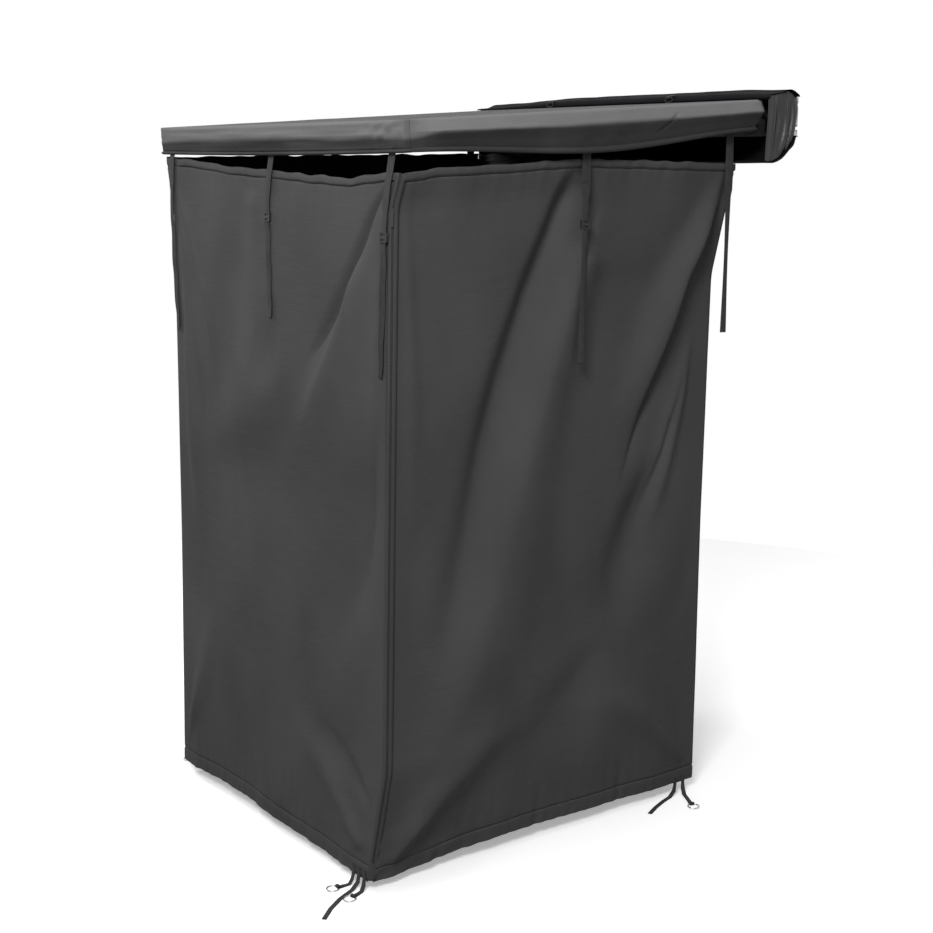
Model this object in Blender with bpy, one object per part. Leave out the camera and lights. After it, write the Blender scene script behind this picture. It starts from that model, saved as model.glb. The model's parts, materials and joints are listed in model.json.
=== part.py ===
"""Side-mounted shower awning: a bi-fold tube frame that carries a soft roof and four hanging walls.

Metres, +Z up. The origin is the centre of the back rail's mounting face. +Y points into the
vehicle, -Y out over the ground, and +X runs along the vehicle to its rear.
"""

import math

import bmesh
import bpy
from mathutils import Matrix, Vector
from mathutils.bvhtree import BVHTree

# Clearance between neighbours that touch on the real thing
GAP = 0.0003

# Back rail: an aluminium extrusion with T-slots in both faces
RAIL_LENGTH = 1.200
RAIL_HEIGHT = 0.100
RAIL_DEPTH = 0.030
SLOT_SPACING = 0.060
SLOT_MOUTH = 0.009
SLOT_WIDTH = 0.016
SLOT_LIP = 0.002
SLOT_DEPTH = 0.006
ROPE_MOUTH = 0.0025
ROPE_WIDTH = 0.006
ROPE_SPACING = 0.012
CHAMBER_HEIGHT = 0.028
CHAMBER_DEPTH = 0.010

# Brackets that bolt the rail to a rack
BRACKET_SPACING = 0.840
BRACKET_WIDTH = 0.050
BRACKET_THICK = 0.005
BRACKET_REACH = 0.055
BRACKET_RISE = 0.040
BOLT_RADIUS = 0.004
BOLT_NUT_RADIUS = 0.0075

# Folding frame: two bi-fold arms and one front bar, all in a plane that droops outwards
FRAME_DROOP = math.radians(3.4)
PIVOT_OUT = 0.135
PIVOT_UP = 0.0225
ARM_INSET = 0.055
ARM_SPREAD = RAIL_LENGTH / 2 - ARM_INSET
ARM_LINK = 0.530
BAR_OFFSET = 0.060
TUBE_WIDTH = 0.020
TUBE_HEIGHT = 0.025
TUBE_WALL = 0.0016
FOLD_GAP = 0.004
PIN_RADIUS = 0.003
PIN_HEAD_RADIUS = 0.0055
PIN_HEAD = 0.0024
BOSS_RADIUS = 0.010
KNUCKLE_LENGTH = 0.030
SPIGOT_LENGTH = 0.025
CHEEK_THICK = 0.0045
MOUNT_PLATE_WIDTH = 0.056
MOUNT_PLATE_THICK = 0.005

# Soft roof and its side skirts
CLOTH_THICK = 0.0016
ROOF_SAG = 0.010
SKIRT_AT_RAIL = 0.080
SKIRT_MIDDLE = 0.104
SKIRT_AT_CORNER = 0.072
SKIRT_BULGE = 0.009
SKIRT_HEM = 0.006
HEM_ROLL = 0.0025

# Storage cover along the rail
COVER_OVERHANG = 0.012
COVER_HALF = RAIL_LENGTH / 2 + COVER_OVERHANG
COVER_SKIN = 0.0016
COVER_TOP_REACH = 0.125
COVER_TOP_CROWN = 0.016
COVER_LIP_REACH = 0.142
COVER_LIP_DROP = 0.110
RING_SPACING = 0.500
RING_WIDTH = 0.027
RING_WIRE = 0.0012
RING_DROP = 0.013
RING_CORNER = 0.005
RING_TAB = 0.004

# Hanging walls
WALL_THICK = 0.003
HEM_HEIGHT = -1.845
CORNER_CUT = 0.009
EDGE_FLAT = 0.016
ZIP_LAP = 0.016
ZIP_TURN = 0.006
ZIP_RUN = (0.045, 0.82)

# Webbing
WEB_WIDTH = 0.025
WEB_THICK = 0.0015
TAIL_WIDTH = 0.016
HEM_CLEAR = 0.006
BUCKLE_HALF = 0.0028
GROUND_LEVEL = -1.880
PEG_RING = 0.0155
PEG_WIRE = 0.0015
PEG_WEB = 0.012
SEAM = 0.0004

# Values that follow from the sizes above
HALF_SPREAD_OFFSET = (TUBE_WIDTH + FOLD_GAP) / 2
ELBOW_OUT = ARM_SPREAD + HALF_SPREAD_OFFSET
CHEEK_RADIUS = HALF_SPREAD_OFFSET - 0.0005
CHEEK_IN = TUBE_HEIGHT / 2 + GAP
CHEEK_OUT = CHEEK_IN + CHEEK_THICK
BAR_AT = -(2 * ARM_LINK + BAR_OFFSET)
ROOF_UNDER = CHEEK_OUT + GAP
ROOF_TOP = ROOF_UNDER + CLOTH_THICK
SKIRT_IN = ELBOW_OUT + BOSS_RADIUS + 0.001
BAR_END = ARM_SPREAD - TUBE_WIDTH / 2 - 0.005
SKIRT_FRONT = BAR_AT - TUBE_WIDTH / 2 - WEB_THICK - 3 * GAP
PIVOT = Vector((0.0, -PIVOT_OUT, PIVOT_UP))
FRAME_PLANE = Matrix.Translation(PIVOT) @ Matrix.Rotation(FRAME_DROOP, 4, "X")

# Wall corners from hem to ground: (share of the way down, x, y). Each is drawn in below its strap
NEAR_CORNER = ((0.0, 0.555, -1.260), (0.045, 0.530, -1.267), (0.82, 0.518, -1.291), (1.0, 0.442, -1.294))
LEFT_CORNER = ((0.0, -0.555, -1.260), (0.09, -0.508, -1.267), (0.60, -0.509, -1.280), (1.0, -0.526, -1.290))
REAR_CORNER = ((0.0, 0.545, -0.175), (0.17, 0.479, -0.184), (0.55, 0.479, -0.196), (1.0, 0.492, -0.212))
REAR_LEFT_CORNER = tuple((share, -x, y) for share, x, y in REAR_CORNER)
CORNER_HEM = -0.140


# Helpers for meshes

def clear_scene():
    for old in list(bpy.data.objects):
        bpy.data.objects.remove(old, do_unlink=True)


def material(name, color, roughness, metallic=0.0):
    look = bpy.data.materials.new(name)
    look.use_nodes = True
    shader = look.node_tree.nodes["Principled BSDF"]
    shader.inputs["Base Color"].default_value = (*color, 1.0)
    shader.inputs["Roughness"].default_value = roughness
    shader.inputs["Metallic"].default_value = metallic
    return look


def add_object(name, mesh, look, parent=None):
    """Link a mesh as a named part. With a parent empty, the mesh keeps its place on the frame."""
    part = bpy.data.objects.new(name, mesh)
    bpy.context.collection.objects.link(part)
    mesh.materials.clear()
    mesh.materials.append(look)
    if parent is not None:
        mesh.transform(Matrix.Translation(-parent.location))
        part.parent = parent
    mesh.shade_smooth()
    mesh.set_sharp_from_angle(angle=math.radians(35))
    return part


def add_empty(name, location, parent=None):
    empty = bpy.data.objects.new(name, None)
    bpy.context.collection.objects.link(empty)
    empty.location = location
    empty.parent = parent
    return empty


def to_mesh(bm):
    bmesh.ops.recalc_face_normals(bm, faces=bm.faces)
    mesh = bpy.data.meshes.new("shape")
    bm.to_mesh(mesh)
    bm.free()
    return mesh


def box(low, high):
    bm = bmesh.new()
    centre = (Vector(low) + Vector(high)) / 2
    size = Vector(high) - Vector(low)
    bmesh.ops.create_cube(bm, size=1.0, matrix=Matrix.Translation(centre) @ Matrix.Diagonal((*size, 1)))
    return to_mesh(bm)


def prism(outline, low, high, to_space):
    """Extrude a flat outline; to_space turns its (u, v, w) into x, y, z."""
    bm = bmesh.new()
    bottom = [bm.verts.new(to_space(u, v, low)) for u, v in outline]
    face = bm.faces.new(bottom)
    grown = bmesh.ops.extrude_face_region(bm, geom=[face])
    shift = Vector(to_space(0, 0, high)) - Vector(to_space(0, 0, low))
    verts = [item for item in grown["geom"] if isinstance(item, bmesh.types.BMVert)]
    bmesh.ops.translate(bm, verts=verts, vec=shift)
    return to_mesh(bm)


def along_x(u, v, w):
    return (w, u, v)


def along_y(u, v, w):
    return (u, w, v)


def along_z(u, v, w):
    return (u, v, w)


def arc(centre, radius, start, end, steps):
    """Points on an arc, angles in degrees."""
    angles = [math.radians(start + (end - start) * i / steps) for i in range(steps + 1)]
    return [(centre[0] + radius * math.cos(a), centre[1] + radius * math.sin(a)) for a in angles]


def rounded_rectangle(width, height, radius, steps=2, centre=(0.0, 0.0)):
    points = []
    for corner, (sx, sy) in enumerate(((1, 1), (-1, 1), (-1, -1), (1, -1))):
        middle = (centre[0] + sx * (width / 2 - radius), centre[1] + sy * (height / 2 - radius))
        points += arc(middle, radius, 90 * corner, 90 * corner + 90, steps)
    return points


def disc(centre, radius, low, high, sides=24, to_space=along_z):
    outline = arc(centre, radius, 0, 360 * (sides - 1) / sides, sides - 1)
    return prism(outline, low, high, to_space)


def hexagon(centre, radius, low, high, to_space=along_z):
    return disc(centre, radius, low, high, sides=6, to_space=to_space)


def slab(corners_low, corners_high):
    """A six-sided block from two four-cornered ends."""
    bm = bmesh.new()
    low = [bm.verts.new(p) for p in corners_low]
    high = [bm.verts.new(p) for p in corners_high]
    bm.faces.new(low)
    bm.faces.new(high)
    for i in range(4):
        j = (i + 1) % 4
        bm.faces.new((low[i], low[j], high[j], high[i]))
    return to_mesh(bm)


def boolean(mesh, tool, operation):
    """Return mesh with the tool added to it or cut from it."""
    body = bpy.data.objects.new("body", mesh)
    other = bpy.data.objects.new("tool", tool)
    for item in (body, other):
        bpy.context.collection.objects.link(item)
    step = body.modifiers.new("step", "BOOLEAN")
    step.operation = operation
    step.object = other
    graph = bpy.context.evaluated_depsgraph_get()
    result = bpy.data.meshes.new_from_object(body.evaluated_get(graph))
    for item in (body, other):
        bpy.data.objects.remove(item, do_unlink=True)
    return result


def joined(*meshes):
    result = meshes[0]
    for mesh in meshes[1:]:
        result = boolean(result, mesh, "UNION")
    return result


def cut(mesh, *tools):
    for tool in tools:
        mesh = boolean(mesh, tool, "DIFFERENCE")
    return mesh


def sided(mesh, side):
    """The right-hand shape for side 1 and its mirror image for side -1."""
    if side < 0:
        mesh.transform(Matrix.Scale(-1, 4, (1, 0, 0)))
        mesh.flip_normals()
    return mesh


def placed(mesh, matrix):
    mesh.transform(matrix)
    return mesh


def skin(front, back):
    """Close two matching grids of points into one thin solid."""
    bm = bmesh.new()
    rows = len(front)
    columns = len(front[0])
    layers = [[[bm.verts.new(p) for p in row] for row in grid] for grid in (front, back)]
    for layer in layers:
        for i in range(rows - 1):
            for j in range(columns - 1):
                bm.faces.new((layer[i][j], layer[i + 1][j], layer[i + 1][j + 1], layer[i][j + 1]))
    rim = [(i, 0) for i in range(rows)] + [(rows - 1, j) for j in range(1, columns)]
    rim += [(i, columns - 1) for i in range(rows - 2, -1, -1)] + [(0, j) for j in range(columns - 2, 0, -1)]
    for (a, b), (c, d) in zip(rim, rim[1:] + rim[:1]):
        bm.faces.new((layers[0][a][b], layers[0][c][d], layers[1][c][d], layers[1][a][b]))
    return to_mesh(bm)


def ribbon(path, across, width, thick):
    """A flat strap along a path. across gives the direction of its width at each point."""
    bm = bmesh.new()
    rings = []
    for i, point in enumerate(path):
        before = path[max(i - 1, 0)]
        after = path[min(i + 1, len(path) - 1)]
        run = (Vector(after) - Vector(before)).normalized()
        side = Vector(across[i])
        side = (side - run * side.dot(run)).normalized()
        up = run.cross(side)
        reach = width[i] / 2
        ring = []
        for a, b in ((-1, -1), (1, -1), (1, 1), (-1, 1)):
            ring.append(bm.verts.new(Vector(point) + side * a * reach + up * b * thick / 2))
        rings.append(ring)
    for low, high in zip(rings, rings[1:]):
        for i in range(4):
            j = (i + 1) % 4
            bm.faces.new((low[i], low[j], high[j], high[i]))
    bm.faces.new(rings[0])
    bm.faces.new(rings[-1])
    return to_mesh(bm)


def smooth_step(value):
    value = min(max(value, 0.0), 1.0)
    return value * value * (3 - 2 * value)


def blend(points, at):
    """Smooth curve through (position, value) pairs."""
    if at <= points[0][0]:
        return points[0][1]
    for (a, low), (b, high) in zip(points, points[1:]):
        if at <= b:
            return low + (high - low) * smooth_step((at - a) / (b - a))
    return points[-1][1]


def linear(points, at):
    """Straight-line reading of a list of (position, value) pairs in rising order."""
    for (a, low), (b, high) in zip(points, points[1:]):
        if at <= b:
            return low + (high - low) * (at - a) / (b - a)
    return points[-1][1]


# Back rail and its brackets

def t_slot(start, along, inward, mouth, lip, width, depth):
    """Corner points of an undercut slot whose mouth is centred on start."""
    start, along, inward = Vector(start), Vector(along), Vector(inward)
    half_mouth = along * mouth / 2
    half_width = along * width / 2
    steps = (
        -half_mouth,
        inward * lip - half_mouth,
        inward * lip - half_width,
        inward * (lip + depth) - half_width,
        inward * (lip + depth) + half_width,
        inward * lip + half_width,
        inward * lip + half_mouth,
        half_mouth,
    )
    return [tuple(start + step) for step in steps]


def rail_outline():
    """Section of the rail in (y, z), counter-clockwise from the lower back corner."""
    half = RAIL_HEIGHT / 2
    slot = (SLOT_MOUTH, SLOT_LIP, SLOT_WIDTH, SLOT_DEPTH)
    rope = (ROPE_MOUTH, SLOT_LIP / 2, ROPE_WIDTH, SLOT_DEPTH)
    points = [(0.0, -half)]
    for height in (-SLOT_SPACING / 2, SLOT_SPACING / 2):
        points += t_slot((0.0, height), (0, 1), (-1, 0), *slot)
    points += [(0.0, half)]
    for place in rope_places():
        points += t_slot((place, half), (-1, 0), (0, -1), *rope)
    points += [(-RAIL_DEPTH, half)]
    for height in (SLOT_SPACING / 2, -SLOT_SPACING / 2):
        points += t_slot((-RAIL_DEPTH, height), (0, -1), (1, 0), *slot)
    points += [(-RAIL_DEPTH, -half)]
    points += t_slot((-RAIL_DEPTH / 2, -half), (1, 0), (0, 1), *rope)
    return points


def rope_places():
    """Depths of the two rope grooves in the rail's top: cover behind, roof in front."""
    middle = -RAIL_DEPTH / 2
    return (middle + ROPE_SPACING / 2, middle - ROPE_SPACING / 2)


def back_rail(look):
    half = RAIL_LENGTH / 2
    body = prism(rail_outline(), -half, half, along_x)
    middle = -RAIL_DEPTH / 2
    chamber = box(
        (-RAIL_LENGTH, middle - CHAMBER_DEPTH / 2, -CHAMBER_HEIGHT / 2),
        (RAIL_LENGTH, middle + CHAMBER_DEPTH / 2, CHAMBER_HEIGHT / 2),
    )
    add_object("back_rail", cut(body, chamber), look)


def bracket_outline():
    """Section of the angle bracket in (y, z), with a rounded inner corner."""
    top = SLOT_SPACING / 2 + BRACKET_RISE / 2
    low = SLOT_SPACING / 2 - BRACKET_RISE / 2
    back = GAP
    inner = back + BRACKET_THICK
    fillet = 0.004
    points = [(back, low), (inner, low)]
    points += arc((inner + fillet, top - BRACKET_THICK - fillet), fillet, 180, 90, 3)
    points += [(back + BRACKET_REACH, top - BRACKET_THICK), (back + BRACKET_REACH, top), (back, top)]
    return points


def mounting_bracket(name, side, look):
    centre = BRACKET_SPACING / 2
    half = BRACKET_WIDTH / 2
    body = prism(bracket_outline(), centre - half, centre + half, along_x)
    hole = disc((centre, SLOT_SPACING / 2), BOLT_RADIUS + GAP, -0.01, 0.02, 16, along_y)
    middle = GAP + BRACKET_THICK + (BRACKET_REACH - BRACKET_THICK) / 2
    slot_shape = rounded_rectangle(0.009, 0.026, 0.0045, 4, (centre, middle))
    slot = prism(slot_shape, 0.0, RAIL_HEIGHT, along_z)
    add_object(name, sided(cut(body, hole, slot), side), look)


def bracket_bolt(name, side, look):
    """T-head in the rail's slot, shank through the bracket, nut on its face."""
    centre = BRACKET_SPACING / 2
    height = SLOT_SPACING / 2
    head_top = -SLOT_LIP - GAP
    nut_low = GAP + BRACKET_THICK + GAP
    reach = SLOT_WIDTH / 2 - GAP
    head = box(
        (centre - reach, head_top - 0.004, height - reach),
        (centre + reach, head_top, height + reach),
    )
    shank = disc((centre, height), BOLT_RADIUS, head_top - 0.002, nut_low + 0.010, 16, along_y)
    nut = hexagon((centre, height), BOLT_NUT_RADIUS, nut_low, nut_low + 0.0065, along_y)
    add_object(name, sided(joined(head, shank, nut), side), look)


# Folding frame. Every shape is drawn for the right-hand arm in the frame's own plane.

def pin_hole(centre):
    return disc(centre, PIN_RADIUS + GAP, -0.03, 0.03, 16)


def tube_body(outline, bevel):
    """A solid bar with the given plan outline and softened long edges."""
    mesh = prism(outline, -TUBE_HEIGHT / 2, TUBE_HEIGHT / 2, along_z)
    bm = bmesh.new()
    bm.from_mesh(mesh)
    flat = [e for e in bm.edges if abs(e.verts[0].co.z - e.verts[1].co.z) < 1e-6]
    bmesh.ops.bevel(bm, geom=flat, offset=bevel, segments=2, affect="EDGES", profile=0.5)
    return to_mesh(bm)


def arm_tube(round_end, open_end):
    """Rectangular tube with a plugged, rounded end on a pivot and an open end at an elbow."""
    middle = ARM_SPREAD
    half = TUBE_WIDTH / 2
    turn = 1 if round_end > open_end else -1
    outline = arc((middle, round_end), half, 0, 180 * turn, 8)
    outline += [(middle - half, open_end), (middle + half, open_end)]
    body = tube_body(outline, 0.0022)
    inner = half - TUBE_WALL
    low, high = sorted((round_end - turn * half, open_end - turn * half))
    cavity = box(
        (middle - inner, low, -TUBE_HEIGHT / 2 + TUBE_WALL),
        (middle + inner, high, TUBE_HEIGHT / 2 - TUBE_WALL),
    )
    return cut(body, cavity, pin_hole((middle, round_end)))


def inner_arm():
    return arm_tube(0.0, -ARM_LINK + KNUCKLE_LENGTH)


def outer_arm():
    return arm_tube(-2 * ARM_LINK, -ARM_LINK - KNUCKLE_LENGTH)


def knuckle(turn):
    """Half of an elbow. turn is 1 for the fork on the inner arm, -1 for the tongue it holds."""
    elbow = -ARM_LINK
    half = TUBE_WIDTH / 2
    full = TUBE_HEIGHT / 2
    tongue = full * 0.5
    face = elbow + turn * GAP / 2
    back = elbow + turn * (KNUCKLE_LENGTH - GAP)
    centre = (ELBOW_OUT, elbow)
    outline = [
        (ARM_SPREAD - half, face),
        (ARM_SPREAD + half, face),
        (ARM_SPREAD + half, back),
        (ARM_SPREAD - half, back),
    ]
    block = tube_body(outline, 0.0018)
    pad = [
        (ARM_SPREAD, face),
        (ARM_SPREAD + half + FOLD_GAP * 0.4, face),
        (ARM_SPREAD + half + FOLD_GAP * 0.4, elbow + turn * 0.018),
        (ARM_SPREAD + half, back - turn * 0.002),
        (ARM_SPREAD, back - turn * 0.002),
    ]
    layers = [(tongue + GAP / 2, full), (-full, -tongue - GAP / 2)]
    others = [(-tongue - GAP / 2, tongue + GAP / 2)]
    if turn < 0:
        layers = [(-tongue + GAP / 2, tongue - GAP / 2)]
        others = [(tongue - GAP / 2, full + GAP), (-full - GAP, -tongue + GAP / 2)]
    for low, high in layers:
        block = joined(block, disc(centre, BOSS_RADIUS, low, high), prism(pad, low, high, along_z))
    for low, high in others:
        block = cut(block, disc(centre, BOSS_RADIUS + GAP, low, high))
    inner_half = half - TUBE_WALL - GAP
    inner_full = full - TUBE_WALL - GAP
    low, high = sorted((back - turn * 0.004, back + turn * SPIGOT_LENGTH))
    spigot = box((ARM_SPREAD - inner_half, low, -inner_full), (ARM_SPREAD + inner_half, high, inner_full))
    block = joined(block, spigot)
    if turn > 0:
        recess = PIN_HEAD_RADIUS + 2 * GAP
        block = cut(block, disc(centre, recess, full - PIN_HEAD - GAP, full + 0.01, 16))
        block = cut(block, disc(centre, recess, -full - 0.01, -full + PIN_HEAD + GAP, 16))
    return cut(block, pin_hole(centre))


def shoulder_pin(centre, outer):
    """Pin with a domed head and a hexagon nut, both sunk flush with the face at height outer."""
    shank = disc(centre, PIN_RADIUS, -outer + 0.001, outer - 0.001, 16)
    head = disc(centre, PIN_HEAD_RADIUS, outer - PIN_HEAD, outer, 16)
    nut = hexagon(centre, PIN_HEAD_RADIUS, -outer, -outer + PIN_HEAD)
    return joined(shank, head, nut)


def fork_cheeks(pivot, web_at):
    """Two cheeks over and under a tube end, joined by a web past the tube's rounded end."""
    turn = 1 if web_at > pivot else -1
    web_far = web_at + turn * 0.014
    outline = arc((ARM_SPREAD, pivot), CHEEK_RADIUS, 0, -180 * turn, 10)
    outline += [(ARM_SPREAD - CHEEK_RADIUS, web_far), (ARM_SPREAD + CHEEK_RADIUS, web_far)]
    body = prism(outline, -CHEEK_OUT, CHEEK_OUT, along_z)
    mouth_start = pivot - turn * 0.03
    low, high = sorted((mouth_start, web_at))
    mouth = box((0.0, low, -CHEEK_IN), (1.0, high, CHEEK_IN))
    recess = PIN_HEAD_RADIUS + 2 * GAP
    body = cut(body, mouth)
    body = cut(body, disc((ARM_SPREAD, pivot), recess, CHEEK_OUT - PIN_HEAD - GAP, 0.03, 16))
    body = cut(body, disc((ARM_SPREAD, pivot), recess, -0.03, -CHEEK_OUT + PIN_HEAD + GAP, 16))
    return cut(body, pin_hole((ARM_SPREAD, pivot)))


def mount_screw(height, plate_front):
    """Hex screw that clamps the arm mount to a nut in the rail's front slot."""
    head = hexagon((ARM_SPREAD, height), BOLT_NUT_RADIUS, plate_front - 0.0055, plate_front + 0.001, along_y)
    start = -RAIL_DEPTH + SLOT_LIP + GAP
    neck = disc((ARM_SPREAD, height), BOLT_RADIUS, plate_front, start + 0.002, 12, along_y)
    reach = SLOT_WIDTH / 2 - GAP
    low = (ARM_SPREAD - reach, start, height - reach)
    high = (ARM_SPREAD + reach, start + 0.004, height + reach)
    nut = box(low, high)
    return joined(head, neck, nut)


def arm_mount():
    """Casting on the rail's front that carries the root fork, in world space."""
    web_at = TUBE_WIDTH / 2 + 0.001
    fork = placed(fork_cheeks(0.0, web_at), FRAME_PLANE)
    plate_back = -RAIL_DEPTH - GAP
    plate_front = plate_back - MOUNT_PLATE_THICK
    half_height = RAIL_HEIGHT / 2 - 0.004
    plate_shape = rounded_rectangle(MOUNT_PLATE_WIDTH, 2 * half_height, 0.008, 3, (ARM_SPREAD, 0.0))
    plate = prism(plate_shape, plate_front, plate_back, along_y)
    half = CHEEK_RADIUS
    near = []
    for x, z in ((-half, -CHEEK_OUT), (half, -CHEEK_OUT), (half, CHEEK_OUT), (-half, CHEEK_OUT)):
        near.append(FRAME_PLANE @ Vector((ARM_SPREAD + x, web_at + 0.012, z)))
    foot_low = -0.012
    foot_top = half_height - 0.001
    far = []
    for x, z in ((-half, foot_low), (half, foot_low), (half, foot_top), (-half, foot_top)):
        far.append(Vector((ARM_SPREAD + x, plate_front + 0.002, z)))
    body = joined(plate, slab(near, far), fork)
    web = 0.0025
    pocket_low = -PIVOT_OUT + 0.036
    pocket_high = plate_front - 0.010
    for x in (-1, 1):
        low, high = sorted((ARM_SPREAD + x * web, ARM_SPREAD + x * 0.02))
        shape = [(pocket_low, PIVOT_UP - 0.008), (pocket_high, foot_low + 0.012)]
        shape += [(pocket_high, foot_top - 0.008), (pocket_low, PIVOT_UP + 0.012)]
        body = cut(body, prism(shape, low, high, along_x))
    screws = [mount_screw(-SLOT_SPACING / 2, plate_front)]
    return joined(body, *screws)


def front_corner():
    """Casting that joins the front bar's end to the outer arm's pivot."""
    pivot = -2 * ARM_LINK
    web_at = pivot - TUBE_WIDTH / 2 - 0.001
    fork = fork_cheeks(pivot, web_at)
    half = CHEEK_RADIUS
    bar_back = BAR_AT + TUBE_WIDTH / 2
    near = []
    far = []
    for x, z in ((-1, -1), (1, -1), (1, 1), (-1, 1)):
        near.append((ARM_SPREAD + x * half, web_at - 0.012, z * CHEEK_OUT))
        far.append((ARM_SPREAD + x * half, bar_back - 0.002, z * TUBE_HEIGHT / 2))
    block_shape = rounded_rectangle(TUBE_WIDTH, TUBE_HEIGHT, 0.0025, 2, (BAR_AT, 0.0))
    block = prism(block_shape, BAR_END + GAP, ARM_SPREAD + half, along_x)
    inner_half = TUBE_WIDTH / 2 - TUBE_WALL - GAP
    inner_full = TUBE_HEIGHT / 2 - TUBE_WALL - GAP
    spigot = box(
        (BAR_END - SPIGOT_LENGTH, BAR_AT - inner_half, -inner_full),
        (BAR_END + 0.004, BAR_AT + inner_half, inner_full),
    )
    return joined(fork, slab(near, far), block, spigot)


def front_bar():
    shape = rounded_rectangle(TUBE_WIDTH, TUBE_HEIGHT, 0.0025, 2, (BAR_AT, 0.0))
    body = prism(shape, -BAR_END, BAR_END, along_x)
    inner_half = TUBE_WIDTH / 2 - TUBE_WALL
    inner_full = TUBE_HEIGHT / 2 - TUBE_WALL
    bore = box((-1.0, BAR_AT - inner_half, -inner_full), (1.0, BAR_AT + inner_half, inner_full))
    return cut(body, bore)


def folding_frame(looks):
    """Both arms and the front bar, each piece with its origin on its joint's axis."""
    plane = bpy.data.objects.new("frame_plane", None)
    bpy.context.collection.objects.link(plane)
    plane.matrix_world = FRAME_PLANE
    for word, side in (("right", 1), ("left", -1)):
        root = add_empty(f"root_axis_{word}", (side * ARM_SPREAD, 0.0, 0.0), plane)
        elbow = add_empty(f"elbow_axis_{word}", (side * ELBOW_OUT, -ARM_LINK, 0.0), plane)
        front = add_empty(f"front_axis_{word}", (side * ARM_SPREAD, -2 * ARM_LINK, 0.0), plane)
        tube, cast, steel = looks["tube"], looks["casting"], looks["steel"]
        add_object(f"arm_mount_{word}", sided(arm_mount(), side), cast)
        root_pin = shoulder_pin((ARM_SPREAD, 0.0), CHEEK_OUT)
        elbow_pin = shoulder_pin((ELBOW_OUT, -ARM_LINK), TUBE_HEIGHT / 2)
        front_pin = shoulder_pin((ARM_SPREAD, -2 * ARM_LINK), CHEEK_OUT)
        add_object(f"root_pin_{word}", sided(root_pin, side), steel, root)
        add_object(f"inner_arm_{word}", sided(inner_arm(), side), tube, root)
        add_object(f"elbow_fork_{word}", sided(knuckle(1), side), cast, root)
        add_object(f"elbow_pin_{word}", sided(elbow_pin, side), steel, elbow)
        add_object(f"elbow_tongue_{word}", sided(knuckle(-1), side), cast, elbow)
        add_object(f"outer_arm_{word}", sided(outer_arm(), side), tube, elbow)
        add_object(f"front_pin_{word}", sided(front_pin, side), steel, front)
        add_object(f"front_corner_{word}", sided(front_corner(), side), cast, front)
        if side > 0:
            add_object("front_bar", front_bar(), tube, front)


# Soft roof with its skirts, in the frame's plane

def in_plane(world):
    return FRAME_PLANE.inverted() @ Vector(world)


def roof_on_rail():
    """Where the roof leaves its groove and where it passes the rail's front edge."""
    top = RAIL_HEIGHT / 2 + GAP
    return in_plane((0.0, rope_places()[1], top)), in_plane((0.0, -RAIL_DEPTH - 2 * GAP, top))


def roof_height(x, y):
    """Height of the roof's underside over the frame's plane."""
    groove, rail_front = roof_on_rail()
    if y > rail_front.y:
        return linear([(rail_front.y, rail_front.z), (groove.y, groove.z)], y)
    rise = smooth_step((rail_front.y - y) / (rail_front.y - CHEEK_RADIUS - 0.015))
    height = rail_front.z + (ROOF_UNDER - rail_front.z) * rise
    middle = math.cos(math.pi / 2 * min(abs(x) / ARM_SPREAD, 1.0))
    span = min(max((y - BAR_AT) / (CHEEK_RADIUS - BAR_AT), 0.0), 1.0)
    return height - ROOF_SAG * middle * math.sin(math.pi * span)


def roof_canopy(look):
    groove, rail_front = roof_on_rail()
    front = SKIRT_FRONT + CLOTH_THICK
    half = SKIRT_IN - GAP
    depths = [groove.y, rail_front.y, 0.075, 0.035] + [front * i / 8 for i in range(9)]
    sides = [half * (i / 6 - 1) for i in range(13)]
    under = [[(x, y, roof_height(x, y)) for x in sides] for y in depths]
    over = [[(x, y, z + CLOTH_THICK) for x, y, z in row] for row in under]
    add_object("roof_canopy", placed(skin(under, over), FRAME_PLANE), look)


def skirt_drop(y):
    """Height of the side skirt at a place along the arm."""
    front = (SKIRT_FRONT, SKIRT_AT_CORNER)
    return blend([front, (-ARM_LINK, SKIRT_MIDDLE), (0.0, SKIRT_AT_RAIL)], y)


def skirt_section(y):
    """(out, height) points down a side skirt, from the roof's edge to the turned-in hem."""
    top = ROOF_TOP
    drop = skirt_drop(y)
    bulge = SKIRT_BULGE * smooth_step((y - SKIRT_FRONT) / 0.10)
    points = [(0.0, top), (0.55 * bulge, top - 0.004), (bulge, top - 0.30 * drop)]
    points += [(0.72 * bulge, top - 0.55 * drop), (0.35 * bulge, top - 0.80 * drop)]
    points += [(0.30 * bulge, top - drop), (0.30 * bulge - SKIRT_HEM, top - drop)]
    return points


def side_skirt(name, side, look):
    start = in_plane((0.0, -COVER_TOP_REACH + 0.012, 0.0)).y
    end = SKIRT_FRONT + CLOTH_THICK + GAP
    steps = 12
    outer = []
    inner = []
    for i in range(steps + 1):
        y = start + (end - start) * i / steps
        section = skirt_section(y)
        last = len(section) - 1
        row_out = []
        row_in = []
        for k, (out, z) in enumerate(section):
            row_out.append((SKIRT_IN + out + CLOTH_THICK * (k < last), y, z))
            row_in.append((SKIRT_IN + out, y, z + CLOTH_THICK * (k >= last - 1)))
        outer.append(row_out)
        inner.append(row_in)
    add_object(name, sided(placed(skin(outer, inner), FRAME_PLANE), side), look)


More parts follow.
